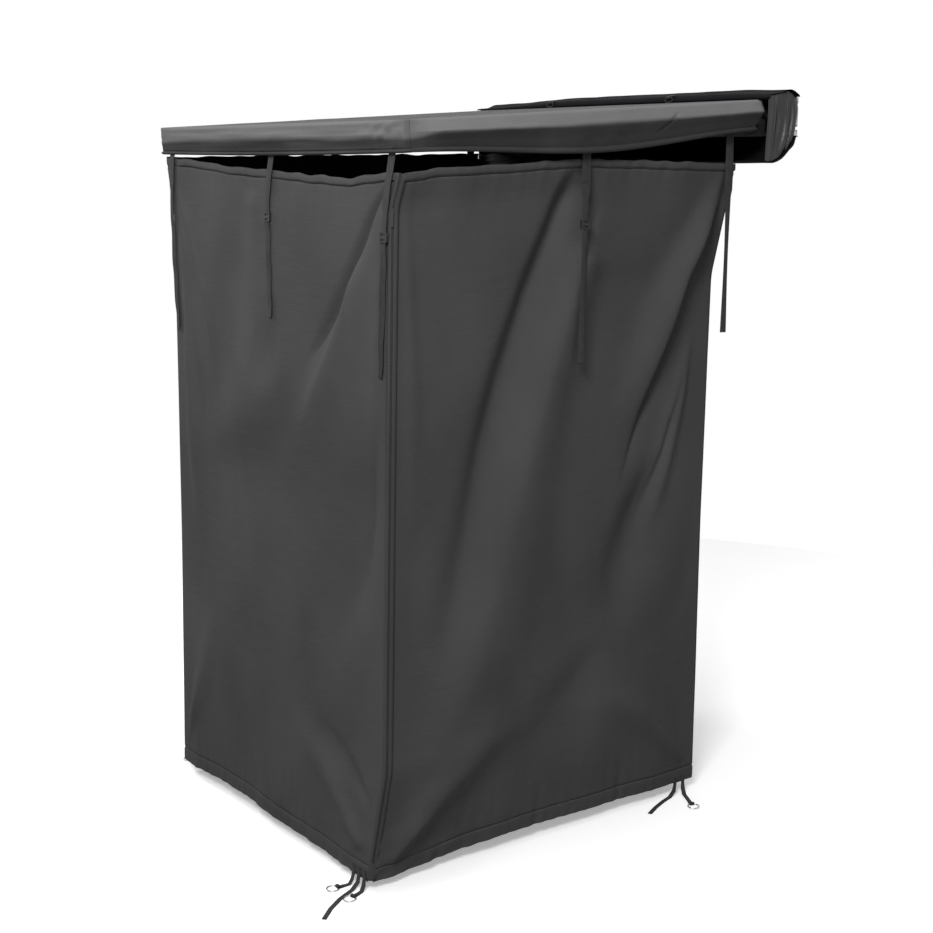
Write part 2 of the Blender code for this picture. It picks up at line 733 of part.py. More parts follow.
def outer_skirt(look):
    """Skirt outside the front bar, with a thick rolled hem."""
    half = SKIRT_IN + CLOTH_THICK
    steps = 10
    outer = []
    inner = []
    for i in range(steps + 1):
        x = half * (2 * i / steps - 1)
        middle = math.cos(math.pi / 2 * x / half)
        drop = SKIRT_AT_CORNER + 0.004 * middle
        low = ROOF_TOP - drop
        face = SKIRT_FRONT - 0.003 * middle
        skin_face = face - CLOTH_THICK
        outer.append([
            (x, SKIRT_FRONT - CLOTH_THICK / 2, ROOF_TOP),
            (x, skin_face, ROOF_TOP - 0.3 * drop),
            (x, skin_face, low + 2 * SKIRT_HEM),
            (x, skin_face - HEM_ROLL, low + SKIRT_HEM),
            (x, skin_face - HEM_ROLL / 2, low),
        ])
        inner.append([
            (x, SKIRT_FRONT, ROOF_TOP - CLOTH_THICK / 2),
            (x, face, ROOF_TOP - 0.3 * drop),
            (x, face, low + 2 * SKIRT_HEM),
            (x, face, low + SKIRT_HEM),
            (x, face, low),
        ])
    add_object("valance_outer", placed(skin(outer, inner), FRAME_PLANE), look)


# Storage cover, in world space

def cover_crown(x):
    """Height of the upper flap's padding: flattest at the far end."""
    shares = [(-COVER_HALF, 0.15), (-0.15, 1.0), (0.45, 1.0), (COVER_HALF, 0.7)]
    return COVER_TOP_CROWN * blend(shares, x)


def cover_top_line(x):
    """(y, z) points under the upper flap at a place along the rail, from the groove outwards."""
    back = rope_places()[0]
    front = -COVER_TOP_REACH
    base = RAIL_HEIGHT / 2 + GAP
    edge = canopy_top_at(front) + 2 * GAP
    crown = cover_crown(x)
    line = [(back, base), (back - 0.006, base + 0.006), (-0.045, base + 0.009 + crown * 0.7)]
    line += [(-0.085, edge + 0.004 + crown), (front + 0.014, edge + 0.003 + crown * 0.85)]
    return line + [(front, edge + crown * 0.45), (front, edge)]


def cover_top(look):
    """Upper flap: held in the rail's rear groove, crowned, and folded down at its front edge."""
    columns = 17
    over = []
    under = []
    for i in range(columns):
        x = COVER_HALF * (2 * i / (columns - 1) - 1)
        line = cover_top_line(x)
        over.append([(x, y - COVER_SKIN * (k > 4), z + COVER_SKIN) for k, (y, z) in enumerate(line)])
        under.append([(x, y, z) for y, z in line])
    body = skin(over, under)
    for side in (-1, 1):
        body = joined(body, ring_tab(side * RING_SPACING / 2))
    add_object("cover_top", body, look)


def ring_axis(x):
    """Place of a cover ring's straight bar, just in front of the flap's edge."""
    edge = canopy_top_at(-COVER_TOP_REACH) + 2 * GAP
    return Vector((x, -COVER_TOP_REACH - COVER_SKIN - RING_TAB, edge + RING_DROP + RING_WIRE + GAP))


def ring_tab(x):
    """Sewn tab with a round tunnel for the ring's straight bar."""
    axis = ring_axis(x)
    half = RING_WIDTH / 2 - RING_CORNER - 0.001
    tunnel = RING_WIRE + GAP
    outline = arc((axis.y, axis.z), tunnel + COVER_SKIN, 90, 270, 6)
    outline += [(axis.y + RING_TAB + 0.012, axis.z - 0.0005), (axis.y + RING_TAB + 0.020, axis.z + 0.0035)]
    body = prism(outline, x - half, x + half, along_x)
    return cut(body, disc((axis.y, axis.z), tunnel, x - half - 0.01, x + half + 0.01, 12, along_x))


def canopy_top_at(y):
    """World height of the roof's upper face over the arms at world depth y."""
    local = in_plane((0.0, y, 0.0)).y
    return (FRAME_PLANE @ Vector((ARM_SPREAD, local, ROOF_TOP))).z


def cover_lower_line():
    """(y, z) points from the rail's bottom groove round to the sagging front lip."""
    base = -RAIL_HEIGHT / 2 - GAP
    middle = -RAIL_DEPTH / 2
    reach = COVER_LIP_REACH
    drop = COVER_LIP_DROP
    return [
        (middle + 0.004, base),
        (middle - 0.003, base - GAP),
        (middle - 0.012, base - 0.022),
        (-0.30 * reach, base - 0.55 * (drop + base)),
        (-0.50 * reach, -0.93 * drop),
        (-0.72 * reach, -drop),
        (-0.90 * reach, -drop + 0.001),
        (-reach, -drop + 0.008),
    ]


def cover_lower(look):
    columns = 11
    over = []
    under = []
    for i in range(columns):
        x = COVER_HALF * (2 * i / (columns - 1) - 1)
        sag = 0.004 * math.cos(math.pi / 2 * x / COVER_HALF)
        line = cover_lower_line()
        weights = [min(1.0, max(0.0, -y / COVER_LIP_REACH * 1.5 - 0.2)) for y, z in line]
        over.append([(x, y, z - sag * w) for (y, z), w in zip(line, weights)])
        under.append([(x, y, z - sag * w - COVER_SKIN) for (y, z), w in zip(line, weights)])
    add_object("cover_lower", skin(over, under), look)


def cover_end(name, side, look):
    """Gathered gusset between the two flaps, with soft folds that fan from the top back corner."""
    plane = RAIL_LENGTH / 2 + 3 * GAP
    low_line = cover_lower_line()[2:-1]
    low_places = []
    for (y0, _), (y1, _) in zip(low_line, low_line[1:]):
        low_places += [y0, y0 + (y1 - y0) / 3, y0 + 2 * (y1 - y0) / 3]
    low_places.append(low_line[-1][0])
    rising_low = sorted(cover_lower_line())
    back = rope_places()[0]
    rising_top = sorted(cover_top_line(side * plane)[:6])
    rows = 7
    outer = []
    inner = []
    for j, y_low in enumerate(low_places):
        v = j / (len(low_places) - 1)
        y_top = back - v * (COVER_TOP_REACH + back - 0.006)
        z_top = linear(rising_top, y_top) - 3 * GAP
        z_low = linear(rising_low, y_low) + GAP
        column_out = []
        column_in = []
        for i in range(rows):
            t = i / (rows - 1)
            y = y_top + (y_low - y_top) * t
            z = z_top + (z_low - z_top) * t
            fold = 0.006 * math.sin(v * math.pi * 5) * t ** 0.5 * math.sin(math.pi * min(v * 1.2, 1.0))
            x = plane + 0.010 * math.sin(math.pi * t) * (1 - v) + fold
            column_out.append((x + COVER_SKIN, y, z))
            column_in.append((x, y, z))
        outer.append(column_out)
        inner.append(column_in)
    add_object(name, sided(skin(outer, inner), side), look)


def wire_loop(path, wire, sides):
    """Closed wire along a flat path of (x, z) points."""
    bm = bmesh.new()
    rings = []
    count = len(path)
    for i, (x, z) in enumerate(path):
        before = Vector(path[i - 1])
        after = Vector(path[(i + 1) % count])
        run = (after - before).normalized()
        out = Vector((run.y, -run.x))
        ring = []
        for k in range(sides):
            angle = 2 * math.pi * k / sides
            shift = out * wire * math.cos(angle)
            ring.append(bm.verts.new((x + shift.x, wire * math.sin(angle), z + shift.y)))
        rings.append(ring)
    for i in range(count):
        low = rings[i]
        high = rings[(i + 1) % count]
        for k in range(sides):
            m = (k + 1) % sides
            bm.faces.new((low[k], low[m], high[m], high[k]))
    return to_mesh(bm)


def cover_ring(name, side, look):
    """D-ring: a straight bar on the joint's axis and a bow that hangs below it."""
    half = RING_WIDTH / 2 - RING_CORNER
    low = -RING_DROP + RING_CORNER
    path = arc((half, -RING_CORNER), RING_CORNER, 90, 0, 2)
    path += arc((half, low), RING_CORNER, 0, -90, 2)
    path += arc((-half, low), RING_CORNER, -90, -180, 2)
    path += arc((-half, -RING_CORNER), RING_CORNER, 180, 90, 2)
    place = ring_axis(side * RING_SPACING / 2)
    axis = add_empty(f"{name}_axis", place)
    add_object(name, placed(wire_loop(path, RING_WIRE, 8), Matrix.Translation(place)), look, axis)


# Hanging walls, in world space. Places on a wall are metres across and down from its top corner.

def corner_at(corner, share):
    """Where a corner stands, seen from above, at a share of the way down."""
    across = [(at, x) for at, x, _ in corner]
    out = [(at, y) for at, _, y in corner]
    return Vector((linear(across, share), linear(out, share)))


class Wall:
    """A hanging sheet between two corners, with tension folds across it."""

    def __init__(self, first, second, outward, top_edge, foot_edge, folds, billow, trims):
        self.first = first
        self.second = second
        self.outward = Vector(outward)
        self.top_edge = top_edge
        self.foot_edge = foot_edge
        self.folds = folds
        self.billow = billow
        self.trims = trims
        self.width = (corner_at(second, 0.0) - corner_at(first, 0.0)).length
        self.tree = None

    def relief(self, u, v):
        """How far the sheet stands out of its flat plane at shares u across and v down."""
        fade = smooth_step((u - EDGE_FLAT) / 0.08) * smooth_step((1 - u - EDGE_FLAT) / 0.08)
        fade *= smooth_step(v / 0.03 + 0.15)
        across = u * self.width
        down = v * (self.top_edge[0][1] - HEM_HEIGHT)
        total = self.billow * math.sin(math.pi * u) * math.sin(math.pi * v)
        for start, end, width, height in self.folds:
            total += height * fold_shape(across, down, start, end, width)
        return total * fade

    def plane_point(self, u, v):
        """A place on the wall's flat sheet, before its folds."""
        place = corner_at(self.first, v).lerp(corner_at(self.second, v), u)
        high = blend(self.top_edge, u)
        low = blend(self.foot_edge, u)
        return Vector((place.x, place.y, high + (low - high) * v))

    def point(self, u, v, proud=0.0):
        return self.plane_point(u, v) + self.outward * (self.relief(u, v) + proud)

    def share_at(self, along, height):
        """Shares (u, v) of the place at a world height and a distance along the wall's own axis."""
        axis = 0 if abs(self.outward.x) < 0.5 else 1
        u, v = 0.5, 0.5
        for _ in range(4):
            high = blend(self.top_edge, u)
            v = (high - height) / (high - blend(self.foot_edge, u))
            start = corner_at(self.first, v)[axis]
            end = corner_at(self.second, v)[axis]
            u = (along - start) / (end - start)
        return u, v

    def in_front(self, along, height, reach, drop, gap):
        """A point gap outside the finished sheet, clear of it over reach sideways and drop up and down."""
        farthest = None
        for side in (-1, 0, 1):
            for rise in (-1, -0.5, 0, 0.5, 1):
                u, v = self.share_at(along + side * reach, height + rise * drop)
                start = self.plane_point(u, v) + self.outward * 0.3
                hit = self.tree.ray_cast(start, -self.outward)[0]
                if hit is not None:
                    out = hit.dot(self.outward)
                    farthest = out if farthest is None else max(farthest, out)
        u, v = self.share_at(along, height)
        base = self.plane_point(u, v)
        if farthest is None:
            farthest = base.dot(self.outward) + WALL_THICK / 2
        return base + self.outward * (farthest - base.dot(self.outward) + gap)

    def solid(self, columns, rows):
        first = EDGE_FLAT
        last = 1 - EDGE_FLAT
        shares = [first + (last - first) * i / columns for i in range(columns + 1)]
        shares = [self.trims[0] / self.width] + shares + [1 - self.trims[1] / self.width]
        drops = [j / rows for j in range(rows + 1)]
        half = WALL_THICK / 2
        outer = [[self.point(u, v, half) for v in drops] for u in shares]
        inner = [[self.point(u, v, -half) for v in drops] for u in shares]
        bm = bmesh.new()
        bm.from_mesh(skin(outer, inner))
        bmesh.ops.triangulate(bm, faces=bm.faces)
        self.tree = BVHTree.FromBMesh(bm)
        return to_mesh(bm)


def fold_shape(across, down, start, end, width):
    """1 on the line from start to end, fading off beside it and towards its far end."""
    run = Vector(end) - Vector(start)
    offset = Vector((across, down)) - Vector(start)
    along = offset.dot(run) / run.length_squared
    beside = (offset - run * along).length
    spread = width * (0.35 + 0.65 * min(max(along, 0.0), 1.0))
    ends = smooth_step(along / 0.08 + 0.4) * smooth_step((1.15 - along) / 0.45)
    return ends * math.exp(-((beside / spread) ** 2))


OUTER_FOLDS = (
    ((1.09, 0.02), (0.74, 0.50), 0.050, 0.022),
    ((1.02, 0.36), (0.68, 1.30), 0.110, -0.024),
    ((0.03, 0.03), (0.28, 0.70), 0.030, 0.010),
    ((0.02, 0.20), (0.13, 1.05), 0.040, 0.009),
    ((1.06, 1.66), (0.62, 1.40), 0.045, 0.012),
)
RIGHT_FOLDS = (
    ((0.54, 0.02), (0.20, 0.92), 0.050, -0.020),
    ((0.56, 0.30), (0.08, 1.46), 0.090, 0.016),
    ((1.07, 0.03), (0.72, 0.66), 0.050, 0.024),
    ((1.06, 0.10), (0.74, 1.15), 0.045, -0.022),
    ((1.00, 0.50), (0.92, 1.05), 0.060, 0.012),
    ((0.03, 1.66), (0.46, 1.36), 0.050, 0.010),
)
REAR_FOLDS = (
    ((0.30, 0.05), (0.26, 1.50), 0.070, 0.010),
    ((0.80, 0.05), (0.86, 1.50), 0.070, 0.010),
)


def make_walls():
    """The four walls by name. Each runs from its first corner to its second."""
    outer_top = [(0.0, -0.108), (0.48, -0.136), (0.78, -0.151), (1.0, CORNER_HEM + 0.002)]
    right_top = [(0.0, CORNER_HEM), (0.14, -0.128), (0.52, -0.113), (1.0, -0.125)]
    left_top = [(0.0, -0.104), (0.5, -0.098), (1.0, -0.094)]
    rear_top = [(0.0, -0.094), (0.5, -0.102), (1.0, -0.122)]
    low = HEM_HEIGHT - 0.010
    outer_foot = [(0.0, HEM_HEIGHT), (0.3, HEM_HEIGHT + 0.008), (0.8, HEM_HEIGHT - 0.004), (1.0, low)]
    right_foot = [(0.0, low), (0.4, HEM_HEIGHT + 0.008), (1.0, HEM_HEIGHT)]
    level_foot = [(0.0, HEM_HEIGHT), (1.0, HEM_HEIGHT)]
    over = -WALL_THICK / 2
    butt = WALL_THICK / 2 + GAP
    outer = Wall(
        LEFT_CORNER, NEAR_CORNER, (0, -1, 0),
        outer_top, outer_foot, OUTER_FOLDS, 0.010, (over, CORNER_CUT),
    )
    right = Wall(
        NEAR_CORNER, REAR_CORNER, (1, 0, 0),
        right_top, right_foot, RIGHT_FOLDS, 0.008, (CORNER_CUT, butt),
    )
    left = Wall(
        LEFT_CORNER, REAR_LEFT_CORNER, (-1, 0, 0),
        left_top, level_foot, RIGHT_FOLDS, 0.008, (butt, butt),
    )
    rear = Wall(
        REAR_LEFT_CORNER, REAR_CORNER, (0, 1, 0),
        rear_top, level_foot, REAR_FOLDS, 0.006, (over, over),
    )
    return {"wall_outer": outer, "wall_right": right, "wall_left": left, "wall_rear": rear}


def corner_line(share, proud, turn):
    """A point on the near corner's edge; turn moves it along the corner's diagonal face."""
    height = CORNER_HEM + (HEM_HEIGHT - 0.010 - CORNER_HEM) * share
    place = corner_at(NEAR_CORNER, share)
    out = Vector((1, -1, 0)).normalized()
    beside = Vector((1, 1, 0)).normalized()
    return Vector((place.x, place.y, height)) + out * proud + beside * turn


def zip_section(walls, share, proud):
    """Points across the tape at a share down the corner: on one wall, over the corner, on the other."""
    corner = corner_line(share, 0.0, 0.0)
    outer, right = walls["wall_outer"], walls["wall_right"]
    out = WALL_THICK / 2 + GAP + proud
    points = []
    for away in (ZIP_LAP, ZIP_TURN):
        place = outer.plane_point(*outer.share_at(corner.x - away, corner.z))
        points.append(place + outer.outward * out)
    for away in (ZIP_TURN, ZIP_LAP):
        place = right.plane_point(*right.share_at(corner.y + away, corner.z))
        points.append(place + right.outward * out)
    return points


def door_zip(walls, looks):
    """Zip tape sewn over the near corner, and the slider that runs down it."""
    top, bottom = ZIP_RUN
    middle_shares = [top + (bottom - top) * i / 3 for i in range(4)]
    shares = [0.008, *middle_shares, 0.970]
    outer = [zip_section(walls, share, CLOTH_THICK) for share in shares]
    inner = [zip_section(walls, share, 0.0) for share in shares]
    add_object("zip_tape", skin(outer, inner), looks["zip"])
    out = Vector((1, -1, 0)).normalized()
    faces = []
    for share, section in zip(shares, outer):
        middle = (section[1] + section[2]) / 2
        faces.append((middle - corner_line(share, 0.0, 0.0)).dot(out))
    face = max(faces[1:-1]) + GAP
    run = (corner_line(bottom, 0, 0) - corner_line(top, 0, 0)).normalized()
    beside = Vector((1, 1, 0)).normalized()
    out = run.cross(beside).normalized()
    start = corner_line(top, 0.0, 0.0)

    def block(across, low, high, near, far):
        """A bar centred across the zip, from low to high down it and from near to far off its face."""
        ends = []
        for down in (low, high):
            spots = ((-across, near), (across, near), (across, far), (-across, far))
            ends.append([start + beside * a + run * down + out * (face + c) for a, c in spots])
        return slab(*ends)

    body = block(0.0045, 0.0, 0.013, 0.0, 0.0035)
    bridge = block(0.0015, 0.002, 0.011, 0.003, 0.0055)
    pull = block(0.003, 0.009, 0.040, 0.0045, 0.0062)
    add_object("zip_slider", joined(body, bridge, pull), looks["steel"])


# Webbing

def tube_loop(run_axis, centre, width, height):
    """A band of webbing round a tube. centre is on the tube's centre line, in the frame's plane."""
    clear = 2 * GAP
    outer = rounded_rectangle(width + 2 * (clear + WEB_THICK), height + 2 * (clear + WEB_THICK), 0.003, 2)
    inner = rounded_rectangle(width + 2 * clear, height + 2 * clear, 0.002, 2)
    half = WEB_WIDTH / 2
    band = prism(outer, -half, half, run_axis)
    hole = prism(inner, -half - 0.01, half + 0.01, run_axis)
    return placed(cut(band, hole), FRAME_PLANE @ Matrix.Translation(centre))


def hanging_strap(name, wall, tube_axis, centre, tail, look):
    """Loop round a frame tube, webbing over the wall's hem, and a free tail in front of the wall.

    The tail hangs plumb from the hem, or lies on the wall where that stands further out.
    tail is the (distance along the wall, height) where the tail ends.
    """
    loop = tube_loop(tube_axis, centre, TUBE_WIDTH, TUBE_HEIGHT)
    sideways = wall.outward.cross(Vector((0, 0, 1)))
    axis = 0 if abs(wall.outward.x) < 0.5 else 1
    low = TUBE_HEIGHT / 2 + 2 * GAP + WEB_THICK / 2
    start = FRAME_PLANE @ Vector((centre[0], centre[1], -low))
    clear = GAP + WEB_THICK / 2
    hem = blend(wall.top_edge, wall.share_at(start[axis], -0.12)[0])
    path = [start, start - Vector((0, 0, 0.010))]
    path.append(wall.in_front(start[axis], hem, WEB_WIDTH / 2, 0.002, clear) + Vector((0, 0, HEM_CLEAR)))
    plumb = path[-1].dot(wall.outward)
    steps = 12
    for i in range(steps + 1):
        share = i / steps
        height = hem - 0.012 + (tail[1] - hem + 0.012) * share
        along = start[axis] + (tail[0] - start[axis]) * share
        step = (hem - tail[1]) / steps
        loose = (BUCKLE_HALF + 0.001 * (1 + math.sin(i * 2.1))) * smooth_step(share * 5)
        point = wall.in_front(along, height, WEB_WIDTH / 2, step, clear + loose)
        path.append(point + wall.outward * max(plumb - point.dot(wall.outward), 0.0))
    widths = [WEB_WIDTH * 0.92] * 5 + [TAIL_WIDTH] * (len(path) - 5)
    strap = ribbon(path, [sideways] * len(path), widths, WEB_THICK)
    add_object(name, joined(loop, strap), look)
    return path


def ladder_buckle(name, path, wall, look):
    """Moulded slider round a strap: a rounded plate with a slit that the webbing passes through."""
    index = 6
    centre = (path[index] + path[index + 1]) / 2
    run = (path[index + 1] - path[index]).normalized()
    side = wall.outward.cross(Vector((0, 0, 1)))
    side = (side - run * side.dot(run)).normalized()
    face = side.cross(run)
    turn = Matrix((side, run, face)).transposed().to_4x4()
    place = Matrix.Translation(centre) @ turn
    width = TAIL_WIDTH + 0.010
    shape = rounded_rectangle(width, 0.024, 0.003, 2)
    plate = prism(shape, -BUCKLE_HALF, BUCKLE_HALF, along_z)
    half = TAIL_WIDTH / 2 + GAP
    room = WEB_THICK / 2 + GAP
    body = cut(plate, box((-half, -0.03, -room), (half, 0.03, room)))
    for y in (-0.006, 0.006):
        window = box((-half, y - 0.0028, 0.0), (half, y + 0.0028, 0.01))
        body = cut(body, window)
    add_object(name, placed(body, place), look)


def straps_and_buckles(walls, looks):
    """Straps by name: the wall, the tube's axis, the loop's place in the frame's plane, the tail's end."""
    look = looks["webbing"]
    outer = walls["wall_outer"]
    corner = BAR_END - WEB_WIDTH / 2 - 0.0015
    middle = -ARM_LINK - KNUCKLE_LENGTH - WEB_WIDTH / 2 - 0.004
    rear = -CHEEK_RADIUS - WEB_WIDTH / 2 - 0.044
    straps = [
        ("middle_outer", outer, along_x, (0.0, BAR_AT, 0.0), (0.020, -0.498)),
        ("corner_right", outer, along_x, (corner, BAR_AT, 0.0), (corner - 0.022, -0.597)),
        ("corner_left", outer, along_x, (-corner, BAR_AT, 0.0), (0.030 - corner, -0.571)),
    ]
    for word, side in (("right", 1), ("left", -1)):
        wall = walls[f"wall_{word}"]
        at = side * ARM_SPREAD
        straps.append((f"middle_{word}", wall, along_y, (at, middle, 0.0), (-0.720, -0.605)))
        straps.append((f"rear_{word}", wall, along_y, (at, rear, 0.0), (-0.206, -0.563)))
    buckled = ("middle_outer", "corner_right", "middle_right", "middle_left")
    for word, wall, tube_axis, centre, tail in straps:
        path = hanging_strap(f"strap_{word}", wall, tube_axis, centre, tail, look)
        if word in buckled:
            ladder_buckle(f"buckle_{word}", path, wall, looks["plastic"])


# Peg loops on the ground

def peg_ring_centre(start, way, reach):
    lift = GROUND_LEVEL + 2 * GAP + WEB_THICK + PEG_WIRE
    return Vector((start.x, start.y, lift)) + way * reach


def peg_eye(start, way, reach):
    """Closed eye of webbing round the near side of a ring, wide enough for the ring to stand up."""
    half = PEG_WEB / 2 + SEAM
    bow = PEG_RING - math.sqrt(PEG_RING ** 2 - half ** 2)
    back = -PEG_WIRE - GAP
    room = bow + 1.2 * PEG_WIRE + GAP
    thick = WEB_THICK
    neck = back - 0.007
    outer = [(back - 0.016, back - thick), (room, back - thick), (room + thick, back)]
    outer += [(room + thick, room), (room, room + thick), (back, room + thick)]
    outer += [(neck, back + 2 * SEAM), (back - 0.016, back + 2 * SEAM)]
    inner = [(back - 0.001, back), (room - 0.0005, back), (room, back + 0.0005)]
    inner += [(room, room - 0.0005), (room - 0.0005, room), (back, room)]
    across = Vector((0, 0, 1)).cross(way)
    near = peg_ring_centre(start, way, reach) - way * PEG_RING

    def to_space(along, rise, side):
        return near + way * along + Vector((0, 0, rise)) + across * side

    eye = prism(outer, -half, half, to_space)
    return cut(eye, prism(inner, -half - 0.01, half + 0.01, to_space))


def peg_arm(wall, along, way, run, sideways=0.0):
    """Webbing from a wall's foot down to the ground and out over it. Also gives its start."""
    face = wall.in_front(along, HEM_HEIGHT + 0.008, TAIL_WIDTH / 2, 0.018, GAP + WEB_THICK / 2)
    start = Vector((face.x, face.y, HEM_HEIGHT - 0.006))
    flat = Vector((start.x, start.y, GROUND_LEVEL + GAP + WEB_THICK / 2 + SEAM / 2))
    turn = Vector((-way.y, way.x, 0))
    path = [start + Vector((0, 0, 0.024)), start, flat + Vector((0, 0, 0.012)) + way * 0.004]
    for share in (0.1, 0.4, 0.7, 1.0):
        path.append(flat + way * (0.010 + (run - 0.010) * share) + turn * sideways * share ** 2)
    level = wall.outward.cross(Vector((0, 0, 1)))
    sides = []
    for i, point in enumerate(path):
        step = path[min(i + 1, len(path) - 1)] - path[max(i - 1, 0)]
        across = Vector((-step.y, step.x, 0))
        if across.dot(level) < 0:
            across.negate()
        sides.append(level if i < 2 else across)
    return ribbon(path, sides, [PEG_WEB] * len(path), WEB_THICK), start


def peg_ring(name, centre, way, look):
    """Round wire ring lying flat, hinged about the side of it that the webbing holds."""
    path = arc((0.0, 0.0), PEG_RING, 0, 337.5, 15)
    mesh = placed(wire_loop(path, PEG_WIRE, 6), Matrix.Rotation(math.radians(90), 4, "X"))
    axis = add_empty(f"{name}_axis", centre - way * PEG_RING)
    add_object(name, placed(mesh, Matrix.Translation(centre)), look, axis)


def peg_loops(walls, looks):
    """Ground webbing by corner: ringed arms as (wall, place, way out, reach), tails as
    (wall, place, way out, length, sideways bend).
    """
    outer, right, left = (walls[name] for name in ("wall_outer", "wall_right", "wall_left"))
    ringed = {
        "near": [(outer, 0.378, (-0.05, -1.0), 0.060), (outer, 0.425, (0.34, -1.0), 0.060)],
        "left": [(left, -1.250, (-1.0, 0.05), 0.060)],
        "right": [(right, -0.250, (1.0, -0.55), 0.104)],
        "rear": [(left, -0.285, (-1.0, -0.1), 0.060)],
    }
    tails = {
        "near": (outer, 0.401, (0.26, -1.0), 0.176, 0.045),
        "right": (right, -0.280, (0.20, -1.0), 0.155, 0.020),
    }
    for word, arms in ringed.items():
        meshes = []
        starts = []
        for count, (wall, along, way, reach) in enumerate(arms):
            heading = Vector((*way, 0)).normalized()
            mesh, start = peg_arm(wall, along, heading, reach - PEG_RING - 0.008)
            meshes += [mesh, peg_eye(start, heading, reach)]
            starts.append(start)
            extra = "_second" if count else ""
            centre = peg_ring_centre(start, heading, reach)
            peg_ring(f"peg_ring_{word}{extra}", centre, heading, looks["steel"])
        if word in tails:
            wall, along, way, run, bend = tails[word]
            mesh, start = peg_arm(wall, along, Vector((*way, 0)).normalized(), run, bend)
            meshes.append(mesh)
            starts.append(start)
        if len(starts) > 1:
            rise = Vector((0, 0, 0.012))
            first = min(starts, key=lambda p: p.x + p.y)
            last = max(starts, key=lambda p: p.x + p.y)
            ends = [first + rise, last + rise]
            meshes.append(ribbon(ends, [(0, 0, 1)] * 2, [PEG_WEB] * 2, WEB_THICK - 2 * SEAM))
        add_object(f"peg_strap_{word}", joined(*meshes), looks["webbing"])


def main():
    clear_scene()
    looks = {
        "tube": material("anodised_tube", (0.42, 0.43, 0.44), 0.35, 0.9),
        "casting": material("black_casting", (0.030, 0.030, 0.032), 0.45),
        "steel": material("plated_steel", (0.55, 0.55, 0.56), 0.30, 1.0),
        "plastic": material("black_plastic", (0.025, 0.025, 0.027), 0.50),
        "roof": material("roof_cloth", (0.115, 0.115, 0.118), 0.85),
        "wall": material("wall_cloth", (0.062, 0.062, 0.064), 0.90),
        "cover": material("cover_skin", (0.028, 0.028, 0.030), 0.55),
        "webbing": material("webbing", (0.030, 0.030, 0.032), 0.80),
        "zip": material("zip_tape", (0.035, 0.035, 0.037), 0.75),
    }
    back_rail(looks["tube"])
    folding_frame(looks)
    roof_canopy(looks["roof"])
    outer_skirt(looks["roof"])
    cover_top(looks["cover"])
    cover_lower(looks["cover"])
    walls = make_walls()
    for name, wall in walls.items():
        columns, rows = (10, 14) if name == "wall_rear" else (15, 22)
        add_object(name, wall.solid(columns, rows), looks["wall"])
    door_zip(walls, looks)
    straps_and_buckles(walls, looks)
    peg_loops(walls, looks)
    for word, side in (("right", 1), ("left", -1)):
        mounting_bracket(f"mounting_bracket_{word}", side, looks["steel"])
        bracket_bolt(f"bracket_bolt_{word}", side, looks["steel"])
        side_skirt(f"valance_{word}", side, looks["roof"])
        cover_end(f"cover_end_{word}", side, looks["cover"])
        cover_ring(f"cover_ring_{word}", side, looks["steel"])
    bpy.context.view_layer.update()


main()
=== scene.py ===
"""Looks for the shower awning: cloth, webbing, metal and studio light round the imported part."""

import json
import math

import bpy
import numpy as np
from mathutils import Matrix, Vector, noise


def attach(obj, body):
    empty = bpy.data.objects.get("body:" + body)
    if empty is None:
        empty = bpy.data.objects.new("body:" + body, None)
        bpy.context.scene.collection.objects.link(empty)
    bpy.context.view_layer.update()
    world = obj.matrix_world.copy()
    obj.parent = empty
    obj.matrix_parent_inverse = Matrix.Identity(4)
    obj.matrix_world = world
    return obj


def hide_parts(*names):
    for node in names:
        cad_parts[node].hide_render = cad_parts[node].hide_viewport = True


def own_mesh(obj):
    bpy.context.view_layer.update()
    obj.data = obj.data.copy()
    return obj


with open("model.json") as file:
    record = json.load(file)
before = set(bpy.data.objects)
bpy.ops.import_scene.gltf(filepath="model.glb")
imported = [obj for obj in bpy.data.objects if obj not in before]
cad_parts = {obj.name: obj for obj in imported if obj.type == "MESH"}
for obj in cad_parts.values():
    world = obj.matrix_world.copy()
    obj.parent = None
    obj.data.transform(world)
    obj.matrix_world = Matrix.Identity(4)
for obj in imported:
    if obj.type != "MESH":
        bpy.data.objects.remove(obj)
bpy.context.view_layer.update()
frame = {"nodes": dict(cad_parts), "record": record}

# The camera that took the photo, in the part's own frame
CAMERA_AT = (3.30, -3.22, -0.11)
CAMERA_HEADING = math.atan2(0.615, -0.7885)
CAMERA_DOWN = math.radians(11.5)
CAMERA_LENS = 58.3
SENSOR = 36.0
GROUND = -1.880

# Wall corners from top to foot: (share of the way down, x, y)
NEAR_CORNER = ((0.0, 0.555, -1.260), (0.045, 0.530, -1.267), (0.82, 0.518, -1.291), (1.0, 0.442, -1.294))
LEFT_CORNER = ((0.0, -0.555, -1.260), (0.09, -0.508, -1.267), (0.60, -0.509, -1.280), (1.0, -0.526, -1.290))
REAR_CORNER = ((0.0, 0.545, -0.175), (0.17, 0.479, -0.184), (0.55, 0.479, -0.196), (1.0, 0.492, -0.212))
REAR_LEFT_CORNER = tuple((share, -x, y) for share, x, y in REAR_CORNER)
CORNER_SOFT = 0.010
CORNER_TOP = -0.140
HEM_Z = -1.845
EDGE_FLAT = 0.016
EDGE_FADE = 0.08
TOP_FADE = 0.03
ZIP_CUT = 0.009
WALL_SKIN = 0.0012
FOOT_HEM = 0.038
TOP_HEM = 0.020
HEM_SEAM = 0.0024
SEAM_DEPTH = 0.0036
TOP_ROLL = 0.0024
TOP_WAVE = 0.0052
STITCH_PITCH = 0.0045
STRAP_ROOM = 0.0045
STRAP_REACH = 0.015
PRESSED_BESIDE = 0.055
PRESSED_BEYOND = 0.20

